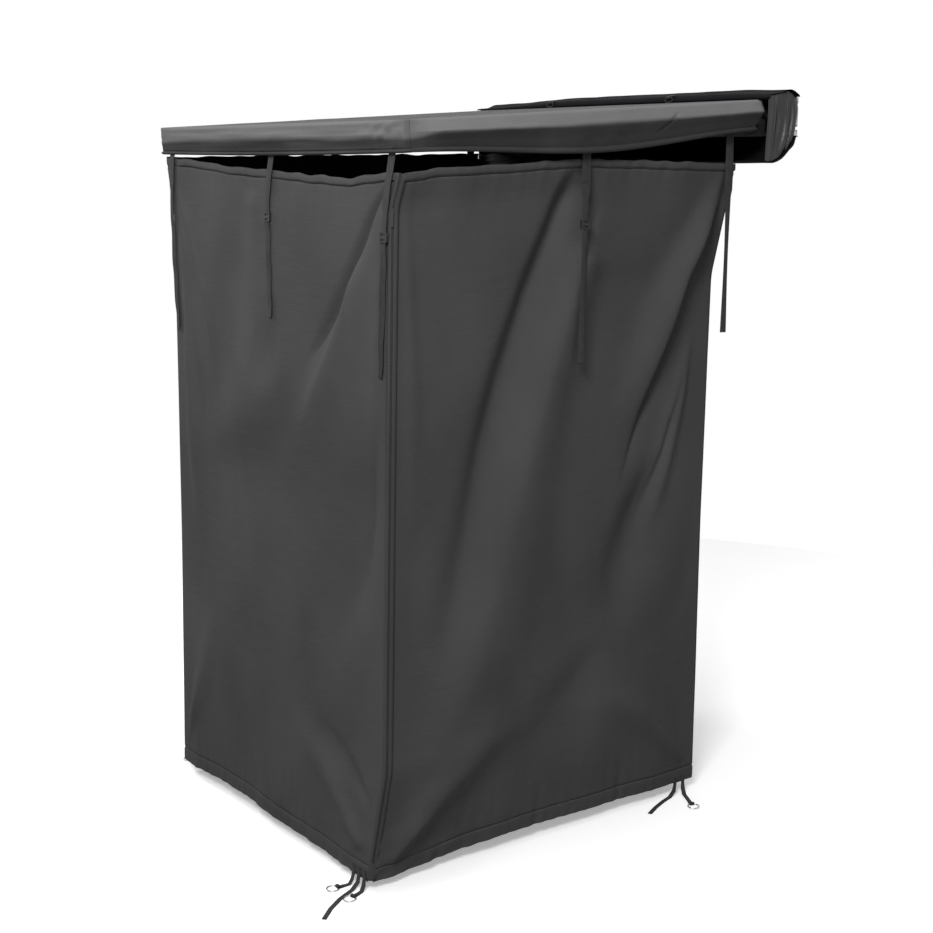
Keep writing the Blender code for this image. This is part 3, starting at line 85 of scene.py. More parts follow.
# The folding frame's plane and the webbing on it
DROOP = math.radians(3.4)
PIVOT = Vector((0.0, -0.135, 0.0225))
FRAME_PLANE = Matrix.Translation(PIVOT) @ Matrix.Rotation(DROOP, 4, "X")
BAR_AT = -1.120
ARM_AT = 0.545
TUBE = (0.020, 0.025)
WEB_WIDTH = 0.029
TAIL_WIDTH = 0.018
WEB_THICK = 0.0015
WEB_AWAY = 0.0014
TAIL_TWIST = 0.30
LOOP_CORNER = 0.516
LOOP_MIDDLE = -0.5765
LOOP_REAR = -0.068
SIDES = (("right", 1), ("left", -1))

# The back rail's groove, which holds the roof and both flaps
RAIL_GROOVE = -0.021
RAIL_FRONT = -0.0306
GROOVE_Z = 0.0503

# Shares given for soft pieces that can't follow the folding arms; such a piece only gets a mesh of its own
FOLDED_SHARE = 0.06
ZIPPED_SHARE = 0.012
FREE_SHARE = 0.042

# The studio's world and floor
WORLD_LIGHT = 0.30
FLOOR_TONE = 0.36
FLOOR_SEEN = 2.7
FLOOR_GLOW = 0.35
FLOOR_REACH = 3.2
FLOOR_CENTRE = (0.1, -0.8)
FLOOR_SIDES = 72

# Lamps by name: place, target, size and watts
LAMPS = {
    "key_left": ((-3.2, -2.3, 1.1), (-0.1, -1.2, -0.8), 1.0, 53.0),
    "key_right": ((2.9, -3.9, 1.9), (0.4, -0.9, -0.9), 1.2, 165.0),
    "top_light": ((0.2, -0.9, 4.2), (0.0, -0.7, 0.0), 3.0, 128.0),
}

# Where a skirt's painted top light ends and its painted shade begins, measured down its cloth, and which
# metal pieces are black
PAINTED_LIGHT_DROP = (0.030, 0.046)
DARK_METAL = ("zip_slider", "cover_ring_right", "cover_ring_left")


# Small helpers

def smooth(value):
    value = np.clip(value, 0.0, 1.0)
    return value * value * (3 - 2 * value)


def blend(points, at):
    """Smooth reading of (position, value) pairs at one or many places."""
    at = np.asarray(at, float)
    result = np.full(at.shape, float(points[0][1]))
    for (a, low), (b, high) in zip(points, points[1:]):
        share = smooth((at - a) / (b - a))
        result = np.where(at >= a, low + (high - low) * share, result)
    return result


@np.vectorize
def ripple(x, y, z, size):
    """Signed smooth noise at one or many places, about -1 to 1."""
    return noise.noise(Vector((x / size, y / size, z / size)))


def curve_through(points, share):
    """Rounded curve through a short list of points, by a share of its length."""
    points = np.asarray(points, float)
    steps = np.linalg.norm(np.diff(points, axis=0), axis=1)
    marks = np.concatenate([[0], np.cumsum(steps)]) / steps.sum()
    position = np.interp(share, marks, np.arange(len(points)))
    low = np.clip(np.floor(position).astype(int), 0, len(points) - 2)
    t = (position - low)[:, None]
    padded = np.concatenate([points[:1] * 2 - points[1:2], points, points[-1:] * 2 - points[-2:-1]])
    a, b, c, d = (padded[low + k] for k in range(4))
    square = (2 * a - 5 * b + 4 * c - d) * t ** 2
    cube = (3 * b - a - 3 * c + d) * t ** 3
    return 0.5 * (2 * b + (c - a) * t + square + cube)


def add_object(name, data):
    made = bpy.data.objects.new(name, data)
    bpy.context.collection.objects.link(made)
    return made


def new_object(name, verts, faces, look, uvs=None):
    mesh = bpy.data.meshes.new(name)
    mesh.from_pydata([tuple(v) for v in verts], [], faces)
    if uvs is not None:
        layer = mesh.uv_layers.new(name="metres")
        spots = [value for loop in mesh.loops for value in uvs[loop.vertex_index]]
        layer.data.foreach_set("uv", spots)
    mesh.materials.append(look)
    piece = add_object(name, mesh)
    mesh.shade_smooth()
    return piece


def give_look(piece, look):
    piece.data.materials.clear()
    piece.data.materials.append(look)


def apply_modifiers(piece):
    graph = bpy.context.evaluated_depsgraph_get()
    mesh = bpy.data.meshes.new_from_object(piece.evaluated_get(graph))
    piece.modifiers.clear()
    piece.data = mesh


def thicken(piece, thick):
    shell = piece.modifiers.new("thickness", "SOLIDIFY")
    shell.thickness = thick
    shell.offset = 0.0
    apply_modifiers(piece)


def grid_piece(name, points, look, thick, flip=False):
    """A cloth piece from rows of points, with its texture laid out in metres."""
    points = np.asarray(points, float)
    rows, columns = points.shape[:2]
    across = np.cumsum(np.linalg.norm(np.diff(points, axis=1, prepend=points[:, :1]), axis=2), axis=1)
    down = np.cumsum(np.linalg.norm(np.diff(points, axis=0, prepend=points[:1]), axis=2), axis=0)
    uvs = np.stack([across, down], axis=2).reshape(-1, 2)
    faces = []
    for i in range(rows - 1):
        for j in range(columns - 1):
            a = i * columns + j
            face = (a, a + 1, a + columns + 1, a + columns)
            faces.append(face[::-1] if flip else face)
    piece = new_object(name, points.reshape(-1, 3), faces, look, uvs.tolist())
    thicken(piece, thick)
    return piece


def settle(piece, body, keep=None):
    """Makes a piece ride on its body. With a keep, it first gets a mesh of its own."""
    if keep is not None:
        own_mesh(piece)
    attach(piece, body)


# Materials

class Look:
    """Builds one procedural material step by step."""

    def __init__(self, name, color, roughness, metallic=0.0):
        self.material = bpy.data.materials.new(name)
        self.material.use_nodes = True
        self.nodes = self.material.node_tree.nodes
        self.links = self.material.node_tree.links
        self.shader = self.nodes["Principled BSDF"]
        self.value("Base Color", (*color, 1.0))
        self.value("Roughness", roughness)
        self.value("Metallic", metallic)
        self.color = color

    def node(self, kind, **settings):
        made = self.nodes.new(kind)
        for key, value in settings.items():
            if key in made.inputs:
                made.inputs[key].default_value = value
            else:
                setattr(made, key, value)
        return made

    def value(self, key, amount):
        self.shader.inputs[key].default_value = amount

    def place(self, source, scale):
        where = self.node("ShaderNodeTexCoord")
        sized = self.node("ShaderNodeMapping", Scale=scale)
        self.links.new(where.outputs[source], sized.inputs["Vector"])
        return sized.outputs["Vector"]

    def noise(self, source, scale, detail=3.0):
        made = self.node("ShaderNodeTexNoise", Scale=1.0, Detail=detail)
        self.links.new(self.place(source, scale), made.inputs["Vector"])
        return made.outputs["Fac"]

    def wave(self, source, scale, direction):
        made = self.node("ShaderNodeTexWave", Scale=1.0, bands_direction=direction)
        self.links.new(self.place(source, scale), made.inputs["Vector"])
        return made.outputs["Fac"]

    def ranged(self, value, at_low, at_high, low=0.0, high=1.0):
        """Runs evenly from at_low to at_high while the value runs from low to high."""
        limits = {"From Min": low, "From Max": high, "To Min": at_low, "To Max": at_high}
        made = self.node("ShaderNodeMapRange", **limits)
        self.links.new(value, made.inputs["Value"])
        return made.outputs["Result"]

    def change(self, where, axis, low, high, at_low, at_high):
        """A value that changes evenly between two places along one axis."""
        parts = self.node("ShaderNodeSeparateXYZ")
        self.links.new(where, parts.inputs["Vector"])
        return self.ranged(parts.outputs[axis], at_low, at_high, low, high)

    def maths(self, operation, first, second):
        made = self.node("ShaderNodeMath", operation=operation)
        for slot, item in zip(made.inputs, (first, second)):
            if isinstance(item, (int, float)):
                slot.default_value = item
            else:
                self.links.new(item, slot)
        return made.outputs[0]

    def shade(self, factor, low, high):
        """Base colour between two multiples of the plain colour."""
        ramp = self.node("ShaderNodeValToRGB")
        for element, at, share in zip(ramp.color_ramp.elements, (0.25, 0.75), (low, high)):
            element.position = at
            element.color = (*[min(c * share, 1.0) for c in self.color], 1.0)
        self.links.new(factor, ramp.inputs["Fac"])
        self.links.new(ramp.outputs["Color"], self.shader.inputs["Base Color"])

    def rough(self, factor, low, high):
        self.links.new(self.ranged(factor, low, high), self.shader.inputs["Roughness"])

    def bump(self, height, distance, strength=1.0):
        made = self.node("ShaderNodeBump", Strength=strength, Distance=distance)
        self.links.new(height, made.inputs["Height"])
        previous = self.shader.inputs["Normal"]
        if previous.is_linked:
            self.links.new(previous.links[0].from_socket, made.inputs["Normal"])
        self.links.new(made.outputs["Normal"], self.shader.inputs["Normal"])


def cloth_look(name, color, roughness, yarn, sheen, crinkle, painted_top_light=False):
    """Woven cloth: crossing yarns, crinkles, uneven dye and a soft sheen. Skirt cloth gets a painted lit top
    band with painted shade below it; other cloth gets painted shade towards its foot.
    """
    look = Look(name, color, roughness)
    turns = 1.0 / yarn
    warp = look.wave("UV", (turns, turns, 1.0), "X")
    weft = look.wave("UV", (turns, turns, 1.0), "Y")
    look.bump(look.maths("MULTIPLY", warp, weft), yarn * 0.25, 0.35)
    look.bump(look.noise("UV", (14.0, 90.0, 1.0), 4.0), 0.0012 * crinkle, 0.6)
    look.bump(look.noise("UV", (7.0, 300.0, 1.0), 3.0), 0.0007 * crinkle, 0.6)
    look.bump(look.noise("Object", (9.0, 9.0, 6.0), 3.0), 0.004 * crinkle, 0.35)
    uneven = look.noise("Object", (3.0, 3.0, 2.0), 5.0)
    if painted_top_light:
        # Painted light: lighter near the skirt's top edge, with painted shade further down its cloth.
        below = look.change(look.place("UV", (1.0, 1.0, 1.0)), "X", *PAINTED_LIGHT_DROP, 0.80, 0.0)
        look.shade(look.maths("ADD", look.maths("MULTIPLY", uneven, 0.5), below), 0.44, 1.48)
    else:
        # Painted shade: the cloth darker towards its foot, lighter towards its top.
        position = look.node("ShaderNodeNewGeometry").outputs["Position"]
        height_shade = look.change(position, "Z", GROUND, 0.0, -0.10, 0.04)
        look.shade(look.maths("ADD", uneven, height_shade), 0.80, 1.20)
    look.rough(look.noise("UV", (40.0, 40.0, 1.0), 3.0), roughness - 0.06, roughness + 0.06)
    look.value("Sheen Weight", sheen)
    look.value("Sheen Roughness", 0.55)
    look.value("Specular IOR Level", 0.04)
    return look.material


def webbing_look(name, color):
    look = Look(name, color, 0.75)
    rib = look.wave("UV", (90.0, 420.0, 1.0), "Y")
    edge = look.wave("UV", (420.0, 90.0, 1.0), "X")
    look.bump(look.maths("ADD", rib, edge), 0.0004, 0.5)
    look.shade(look.noise("Object", (60.0,) * 3, 3.0), 0.85, 1.15)
    look.value("Sheen Weight", 0.02)
    look.value("Specular IOR Level", 0.12)
    return look.material


def coated_look(name, color, roughness, shine):
    """Heavy coated cloth: a fine grain over slow waves, with rubbed patches."""
    look = Look(name, color, roughness)
    look.value("Specular IOR Level", shine)
    look.bump(look.noise("Object", (900.0,) * 3, 2.0), 0.0003, 0.35)
    look.bump(look.noise("Object", (14.0, 30.0, 30.0), 3.0), 0.003, 0.4)
    look.shade(look.noise("Object", (6.0, 20.0, 20.0), 4.0), 0.85, 1.20)
    look.rough(look.noise("Object", (20.0, 40.0, 40.0), 3.0), roughness - 0.10, roughness + 0.12)
    return look.material


def metal_look(name, color, roughness, brushed):
    look = Look(name, color, roughness, 1.0)
    look.bump(look.noise("Object", brushed, 3.0), 0.0002, 0.3)
    look.rough(look.noise("Object", (30.0,) * 3, 4.0), roughness - 0.08, roughness + 0.10)
    return look.material


def painted_look(name, color, roughness):
    look = Look(name, color, roughness)
    look.value("Specular IOR Level", 0.22)
    look.bump(look.noise("Object", (700.0,) * 3, 2.0), 0.0003, 0.3)
    look.shade(look.noise("Object", (40.0,) * 3, 4.0), 0.85, 1.2)
    return look.material


def make_looks():
    return {
        "anodised_tube": metal_look("tube_metal", (0.42, 0.43, 0.44), 0.35, (20.0, 900.0, 900.0)),
        "black_casting": painted_look("casting_paint", (0.038, 0.038, 0.040), 0.45),
        "plated_steel": metal_look("plated_metal", (0.50, 0.50, 0.51), 0.30, (300.0,) * 3),
        "dark_plated": painted_look("dark_plated_metal", (0.032, 0.032, 0.034), 0.36),
        "black_plastic": painted_look("moulded_plastic", (0.024, 0.024, 0.025), 0.42),
        "roof_cloth": cloth_look("roof_weave", (0.090, 0.090, 0.092), 0.70, 0.0012, 0.02, 1.0),
        # Skirt cloth: painted light on its top band and painted shade below it.
        "skirt_cloth": cloth_look("skirt_weave", (0.102, 0.102, 0.104), 0.70, 0.0012, 0.02, 1.0, True),
        "wall_cloth": cloth_look("wall_weave", (0.070, 0.070, 0.072), 0.78, 0.001, 0.01, 1.0),
        "cover_skin": coated_look("cover_coating", (0.008, 0.008, 0.009), 0.62, 0.015),
        "gusset": coated_look("gusset_coating", (0.007, 0.007, 0.0075), 0.32, 0.50),
        "webbing": webbing_look("strap_weave", (0.042, 0.042, 0.043)),
        "zip_cloth": cloth_look("zip_weave", (0.058, 0.058, 0.060), 0.75, 0.0008, 0.01, 0.5),
        "zip_coil": painted_look("zip_coil", (0.012, 0.012, 0.013), 0.45),
        "thread": painted_look("thread", (0.045, 0.045, 0.046), 0.80),
    }


# Walls

FOLD_SIDE_BLEND = 0.008
FOLD_AT_EDGE = 0.35


class Fold:
    """A soft line across a wall. Positive height stands outwards; side widths differ left and right."""

    def __init__(self, points, height, left, right, start=0.06, end=0.5, sharp=False):
        self.points = curve_through(points, np.linspace(0, 1, 9))
        self.height = height
        self.left = left
        self.right = right
        self.start = start
        self.end = end
        self.sharp = sharp

    def raised(self, across, down):
        lengths = np.linalg.norm(np.diff(self.points, axis=0), axis=1)
        total = lengths.sum()
        nearest = np.full(across.shape, np.inf)
        signed = np.zeros(across.shape)
        along = np.zeros(across.shape)
        done = 0.0
        for a, b, length in zip(self.points, self.points[1:], lengths):
            run = (b - a) / length
            da, dd = across - a[0], down - a[1]
            t = np.clip(da * run[0] + dd * run[1], 0.0, length)
            oa, od = da - run[0] * t, dd - run[1] * t
            distance = np.hypot(oa, od)
            side = oa * run[1] - od * run[0]
            closer = distance < nearest
            nearest = np.where(closer, distance, nearest)
            signed = np.where(closer, side, signed)
            along = np.where(closer, (done + t) / total, along)
            done += length
        grow = 0.45 + 0.55 * smooth(along * 1.5)
        turn = 0.5 + 0.5 * np.tanh(signed / FOLD_SIDE_BLEND)
        width = (self.left + (self.right - self.left) * turn) * grow
        ratio = nearest / width
        shape = np.exp(-ratio * 1.4) if self.sharp else np.exp(-ratio ** 2)
        held = FOLD_AT_EDGE if self.start < 0.1 else 0.0
        ends = smooth(along / self.start + held) * smooth((1.0 - along) / self.end)
        return self.height * shape * ends


OUTER_FOLDS = (
    Fold([(1.09, 0.00), (0.90, 0.25), (0.74, 0.48)], -0.027, 0.012, 0.030, end=0.3, sharp=True),
    Fold([(1.10, 0.10), (0.97, 0.36), (0.80, 0.60), (0.62, 0.85)], 0.062, 0.080, 0.120, end=0.6),
    Fold([(1.06, 0.50), (0.92, 0.95), (0.70, 1.35)], -0.046, 0.110, 0.100, start=0.45),
    Fold([(0.00, 0.00), (0.13, 0.24), (0.20, 0.38), (0.30, 0.75)], 0.014, 0.018, 0.024, sharp=True),
    Fold([(0.00, 0.07), (0.10, 0.27), (0.16, 0.40)], 0.012, 0.013, 0.018, sharp=True),
    Fold([(0.02, 0.20), (0.10, 0.60), (0.15, 1.10)], 0.022, 0.045, 0.040),
    Fold([(0.10, 0.45), (0.15, 0.80)], -0.010, 0.040, 0.060, start=0.45),
    Fold([(0.12, 0.80), (0.50, 0.60), (0.90, 0.46)], 0.030, 0.120, 0.150, start=0.5),
    Fold([(0.50, 0.05), (0.46, 0.50), (0.40, 1.20)], 0.015, 0.160, 0.160),
    Fold([(1.05, 1.66), (0.85, 1.50), (0.62, 1.40)], 0.013, 0.040, 0.055),
    Fold([(1.08, 1.55), (0.90, 1.43), (0.72, 1.36)], -0.009, 0.030, 0.045),
    Fold([(0.03, 1.66), (0.14, 1.45), (0.22, 1.20)], 0.014, 0.035, 0.045),
)
RIGHT_FOLDS = (
    Fold([(0.53, 0.04), (0.41, 0.34), (0.31, 0.61), (0.13, 1.35)], -0.034, 0.055, 0.085, end=0.6),
    Fold([(0.60, 0.20), (0.47, 0.55), (0.36, 0.88), (0.27, 1.18), (0.13, 1.52)], 0.034, 0.085, 0.15, end=0.3),
    Fold([(1.08, 0.02), (0.97, 0.24), (0.88, 0.44), (0.74, 0.75)], 0.048, 0.065, 0.028),
    Fold([(1.07, 0.08), (0.94, 0.38), (0.74, 0.86)], -0.030, 0.012, 0.030, end=0.4, sharp=True),
    Fold([(1.03, 0.40), (0.93, 0.75), (0.84, 1.05)], 0.024, 0.045, 0.028, start=0.4),
    Fold([(1.00, 0.50), (0.90, 0.78), (0.82, 1.00)], -0.019, 0.018, 0.035, sharp=True, start=0.4),
    Fold([(0.90, 0.72), (0.80, 1.00), (0.72, 1.25)], -0.036, 0.080, 0.080, start=0.4),
    Fold([(0.78, 1.18), (0.55, 1.40), (0.32, 1.56)], -0.020, 0.090, 0.130, start=0.5),
    Fold([(0.03, 1.66), (0.20, 1.48), (0.44, 1.34)], 0.028, 0.060, 0.080),
    Fold([(1.04, 1.64), (0.86, 1.46), (0.66, 1.38)], 0.015, 0.045, 0.050),
    Fold([(0.03, 0.02), (0.05, 0.40), (0.06, 0.90)], 0.011, 0.028, 0.028),
)
REAR_FOLDS = (
    Fold([(0.02, 0.02), (0.30, 0.60), (0.34, 1.40)], 0.010, 0.070, 0.090),
    Fold([(1.08, 0.02), (0.80, 0.60), (0.76, 1.40)], 0.010, 0.090, 0.070),
    Fold([(0.55, 0.05), (0.56, 1.20)], -0.006, 0.060, 0.060),
)


def corner_places(corner, share):
    """Where a corner stands, seen from above, at shares of the way down, its bends softened."""
    shares, xs, ys = zip(*corner)
    total = np.zeros((*share.shape, 2))
    shifts = np.linspace(-CORNER_SOFT, CORNER_SOFT, 5)
    for shift in shifts:
        at = np.clip(share + shift, 0.0, 1.0)
        total += np.stack([np.interp(at, shares, xs), np.interp(at, shares, ys)], axis=-1)
    return total / len(shifts)


class Wall:
    """The same hanging sheet as the part's, with finer folds, hems and puckers."""

    def __init__(self, first, second, outward, top_edge, foot_edge, folds, billow, trims):
        self.first = first
        self.second = second
        self.near_start = first is NEAR_CORNER
        self.outward = np.array(outward, float)
        self.top_edge = top_edge
        self.foot_edge = foot_edge
        self.folds = folds
        self.billow = billow
        self.trims = trims
        self.width = math.dist(first[0][1:], second[0][1:])
        self.drop = top_edge[0][1] - HEM_Z
        self.seed = float(self.outward[0] * 3 + self.outward[1] * 7)
        self.straps = []

    def relief(self, u, v):
        fade = smooth((u - EDGE_FLAT) / EDGE_FADE) * smooth((1 - u - EDGE_FLAT) / EDGE_FADE)
        fade *= smooth(v / TOP_FADE + 0.15)
        total = self.billow * np.sin(math.pi * u) * np.sin(math.pi * v)
        for fold in self.folds:
            total = total + fold.raised(u * self.width, v * self.drop)
        return total * fade

    def plane_points(self, u, v):
        """Places on the wall's flat sheet, before its folds."""
        start = corner_places(self.first, v)
        end = corner_places(self.second, v)
        flat = start + (end - start) * u[..., None]
        high = blend(self.top_edge, u)
        low = blend(self.foot_edge, u)
        height = high + (low - high) * v
        return np.concatenate([flat, height[..., None]], axis=-1)

    def upright(self, away, share):
        """Points down the flat sheet, away from its first corner or, if negative, from its second."""
        place = away / self.width if away > 0 else 1 + away / self.width
        return self.plane_points(np.full(share.shape, place), share)

    def points(self, u, v):
        out = self.relief(u, v) + self.crinkles(u, v) + self.hems(v)
        places = self.plane_points(u, v) + self.outward * out[..., None]
        near_top = np.exp(-v * self.drop / TOP_FADE)
        places[..., 2] += TOP_WAVE * ripple(u * self.width, 0.0, self.seed + 20, 0.055) * near_top
        return self.pressed_back(places)

    def crinkles(self, u, v):
        """Puckers along both hems, soft waves and a faint all-over unevenness."""
        seed = self.seed
        across = u * self.width
        down = v * self.drop
        rise = self.drop - down
        place = across if self.near_start else self.width - across
        hem = 1.3 * np.exp(-down / 0.05) + 1.8 * np.exp(-rise / 0.09)
        bunched = np.exp(-place / 0.16) * np.exp(-rise / 0.16)
        pucker = ripple(across, down * 0.2, seed, 0.024) * hem * 0.0024
        pucker += ripple(across, down, seed + 30, 0.050) * bunched * 0.013
        slub = ripple(across * 0.25, down, seed + 4, 0.018) * 0.0004
        drift = ripple(across, down * 0.6, seed + 9, 0.11) * 0.0026
        wave = ripple(across + down * 0.35, down * 0.30, seed + 15, 0.24) * 0.008
        edge = smooth(across / 0.03) * smooth((self.width - across) / 0.03)
        wide_edge = smooth(across / 0.10) * smooth((self.width - across) / 0.10)
        return (pucker + slub + drift + wave) * (0.15 + 0.25 * edge + 0.60 * wide_edge)

    def hems(self, v):
        """Turned-up cloth along the top and foot, pulled in along the line of stitching."""
        down = v * self.drop
        rise = self.drop - down
        raised = (down < TOP_HEM) | (rise < FOOT_HEM)
        seam = np.exp(-((down - TOP_HEM) / HEM_SEAM) ** 2) + np.exp(-((rise - FOOT_HEM) / HEM_SEAM) ** 2)
        top_roll = TOP_ROLL * np.sin(math.pi * np.clip(down / TOP_HEM, 0.0, 1.0))
        return raised * 0.0008 + top_roll - SEAM_DEPTH * seam

    def pressed_back(self, points):
        """Keeps the sheet behind each strap that hangs in front of it."""
        axis = 1 if self.outward[0] else 0
        for line in self.straps:
            order = line[np.argsort(line[:, 2])]
            height = points[..., 2]
            middle = np.interp(height, order[:, 2], order[:, axis])
            front = np.interp(height, order[:, 2], order @ self.outward) - STRAP_ROOM
            beside = np.abs(points[..., axis] - middle)
            beyond = np.maximum(order[0, 2] - height, height - order[-1, 2])
            held = 1 - smooth((beside - STRAP_REACH) / PRESSED_BESIDE)
            held *= 1 - smooth(beyond / PRESSED_BEYOND)
            excess = np.maximum(points @ self.outward - front, 0.0)
            points = points - self.outward * (excess * held)[..., None]
        return points

    def piece(self, name, look, columns, rows):
        us = np.linspace(self.trims[0] / self.width, 1 - self.trims[1] / self.width, columns)
        near_seam = np.array([-2.0, -1.0, -0.4, 0.0, 0.4, 1.0, 2.0]) * HEM_SEAM
        steps = np.concatenate([TOP_HEM + near_seam, self.drop - FOOT_HEM + near_seam, [self.drop - 0.002]])
        vs = np.unique(np.concatenate([np.linspace(0, 1, rows), steps / self.drop]))
        v, u = np.meshgrid(vs, us, indexing="ij")
        return grid_piece(name, self.points(u, v), look, WALL_SKIN)


def make_walls():
    """The four walls by name. Each runs from its first corner to its second."""
    outer_top = [(0.0, -0.108), (0.48, -0.136), (0.78, -0.151), (1.0, CORNER_TOP + 0.002)]
    right_top = [(0.0, CORNER_TOP), (0.14, -0.126), (0.52, -0.110), (1.0, -0.121)]
    left_top = [(0.0, -0.104), (0.5, -0.098), (1.0, -0.094)]
    rear_top = [(0.0, -0.094), (0.5, -0.102), (1.0, -0.122)]
    low = HEM_Z - 0.010
    outer_foot = [(0.0, HEM_Z), (0.3, HEM_Z + 0.008), (0.8, HEM_Z - 0.004), (1.0, low)]
    right_foot = [(0.0, low), (0.4, HEM_Z + 0.008), (1.0, HEM_Z)]
    level = [(0.0, HEM_Z), (1.0, HEM_Z)]
    near, far_left = NEAR_CORNER, LEFT_CORNER
    rear, rear_left = REAR_CORNER, REAR_LEFT_CORNER
    front, right, left, back = (0, -1, 0), (1, 0, 0), (-1, 0, 0), (0, 1, 0)
    at_zip = (0.0, ZIP_CUT)
    from_zip = (ZIP_CUT, 0.0)
    whole = (0.0, 0.0)
    return {
        "wall_outer": Wall(far_left, near, front, outer_top, outer_foot, OUTER_FOLDS, 0.010, at_zip),
        "wall_right": Wall(near, rear, right, right_top, right_foot, RIGHT_FOLDS, 0.008, from_zip),
        "wall_left": Wall(far_left, rear_left, left, left_top, level, RIGHT_FOLDS, 0.008, whole),
        "wall_rear": Wall(rear_left, rear, back, rear_top, level, REAR_FOLDS, 0.006, whole),
    }


def hem_stitches(name, wall, distance, look):
    """A row of thread stitches across a wall, down from its top or, if negative, up from its foot."""
    down = distance if distance > 0 else wall.drop + distance
    share = np.linspace(0.012, 0.988, int(wall.width / STITCH_PITCH))
    v = np.full(share.shape, down / wall.drop)
    row = wall.points(share, v) + wall.outward * (WALL_SKIN / 2 + 0.0002)
    verts = []
    faces = []
    long = 0.0014
    high = 0.0003
    peak = wall.outward * 0.0004
    run = (row[-1] - row[0]) / np.linalg.norm(row[-1] - row[0])
    up = np.array((0.0, 0.0, 1.0))
    for point in row:
        base = len(verts)
        for a, b in ((-1, -1), (1, -1), (1, 1), (-1, 1)):
            verts.append(point + run * a * long + up * b * high)
        verts.append(point + peak - run * long * 0.5)
        verts.append(point + peak + run * long * 0.5)
        faces += [(base, base + 1, base + 5, base + 4), (base + 3, base + 4, base + 5, base + 2)]
        faces += [(base + 1, base + 2, base + 5), (base, base + 4, base + 3)]
        faces.append((base, base + 3, base + 2, base + 1))
    return new_object(name, verts, faces, look)


# Roof and skirts, drawn in the frame's own plane

ROOF_UNDER = 0.0176
ROOF_TOP = 0.0192
ROOF_SAG = 0.010
SKIRT_IN = 0.568
SKIRT_START = -0.113
SKIRT_FRONT = -1.1324
SKIRT_SLANT = 0.025
SIDE_BULGE = 0.025
OUTER_BULGE = 0.013
OUTER_DROP = 0.072
HEM_LOSS = 0.0012
CREASE_AT = -0.265
SKIRT_CORNER_RADIUS = 0.006
SKIRT_WRAP = 0.012
CLOTH_SKIN = 0.0014
PIVOT_EDGE = 0.0115

# How far each skirt stands out on its way down, as shares of its bulge
SIDE_PROFILE = (
    (0.0, 0.0), (0.05, 0.30), (0.39, 1.0), (0.43, 0.94), (0.62, 0.52),
    (0.80, 0.24), (0.86, 0.14), (0.93, 0.44), (1.0, 0.22),
)
OUTER_PROFILE = ((0.0, 0.0), (0.08, 0.55), (0.42, 1.0), (0.50, 0.85), (0.80, 0.12), (1.0, 0.10))


def in_plane(world):
    return FRAME_PLANE.inverted() @ Vector(world)


def to_world(points):
    points = np.asarray(points, float)
    matrix = np.array(FRAME_PLANE)
    return points @ matrix[:3, :3].T + matrix[:3, 3]


def roof_piece(look):
    """The roof: held in the rail, level over the arms and sagging a little between them."""
    groove = in_plane((0.0, RAIL_GROOVE, GROOVE_Z))
    rail_front = in_plane((0.0, RAIL_FRONT, GROOVE_Z))
    ys = np.concatenate([np.linspace(groove.y, 0.0, 30), np.linspace(-0.012, SKIRT_FRONT + 0.0016, 92)])
    xs = np.linspace(-SKIRT_IN + 0.0003, SKIRT_IN - 0.0003, 100)
    y, x = np.meshgrid(ys, xs, indexing="ij")
    rise = smooth((rail_front.y - y) / (rail_front.y - PIVOT_EDGE - 0.015))
    height = rail_front.z + (ROOF_UNDER - rail_front.z) * rise
    behind = np.clip((y - rail_front.y) / (groove.y - rail_front.y), 0.0, 1.0)
    height += (groove.z - rail_front.z) * behind
    middle = np.cos(math.pi / 2 * np.minimum(np.abs(x) / ARM_AT, 1.0))
    span = np.clip((y - BAR_AT) / (PIVOT_EDGE - BAR_AT), 0, 1)
    height -= ROOF_SAG * middle * np.sin(math.pi * span)
    calm = np.minimum(1.0, (SKIRT_IN - np.abs(x)) / 0.05) * np.sin(math.pi * span)
    height += 0.0024 * calm * ripple(x, y, 2.0, 0.12)
    points = to_world(np.stack([x, y, height + CLOTH_SKIN / 2 + 0.0001], axis=-1))
    return grid_piece("roof", points, look, CLOTH_SKIN)


def skirt_drop(y):
    return blend([(SKIRT_FRONT, OUTER_DROP), (-0.530, 0.104), (0.0, 0.080)], y)


def side_skirt_piece(name, side, look):
    """Side skirt: a padded upper fold that catches the light, a flat lower part and a rolled hem."""
    start = in_plane((0.0, SKIRT_START, 0.0)).y
    end = SKIRT_FRONT + 0.0019
    shares = np.linspace(0, 1, 170)
    downs = np.unique(np.concatenate([np.linspace(0, 1, 34), [0.36, 0.40, 0.44, 0.86, 0.88, 0.90]]))
    share, v = np.meshgrid(shares, downs, indexing="ij")
    y = start + (end - start) * share - SKIRT_SLANT * v * np.exp(-share / 0.03)
    out = SIDE_BULGE * np.interp(v, *zip(*SIDE_PROFILE)) * smooth((y - SKIRT_FRONT) / 0.10)
    crease = y - CREASE_AT + 0.16 * v
    out -= 0.005 * np.exp(-(crease / 0.005) ** 2) * smooth(np.sin(math.pi * (v - 0.15) / 0.6))
    calm = np.sin(math.pi * np.minimum(v * 1.1, 1.0)) * smooth((1 - share) / 0.04)
    wave = ripple(y, v * 0.05, side * 5.0, 0.075) * 0.0034
    streak = ripple(y * 0.2, v * 0.10, side * 3.0, 0.018) * 0.001
    flutter = ripple(y, 0.0, side * 8.0, 0.024) * 0.0012 * v
    out += (wave + streak + flutter) * calm
    x = side * (SKIRT_IN + 0.0008 + np.maximum(out, 0.0))
    points = to_world(np.stack([x, y, ROOF_TOP - 0.0008 - (skirt_drop(y) - HEM_LOSS) * v], axis=-1))
    return grid_piece(name, points, look, CLOTH_SKIN)


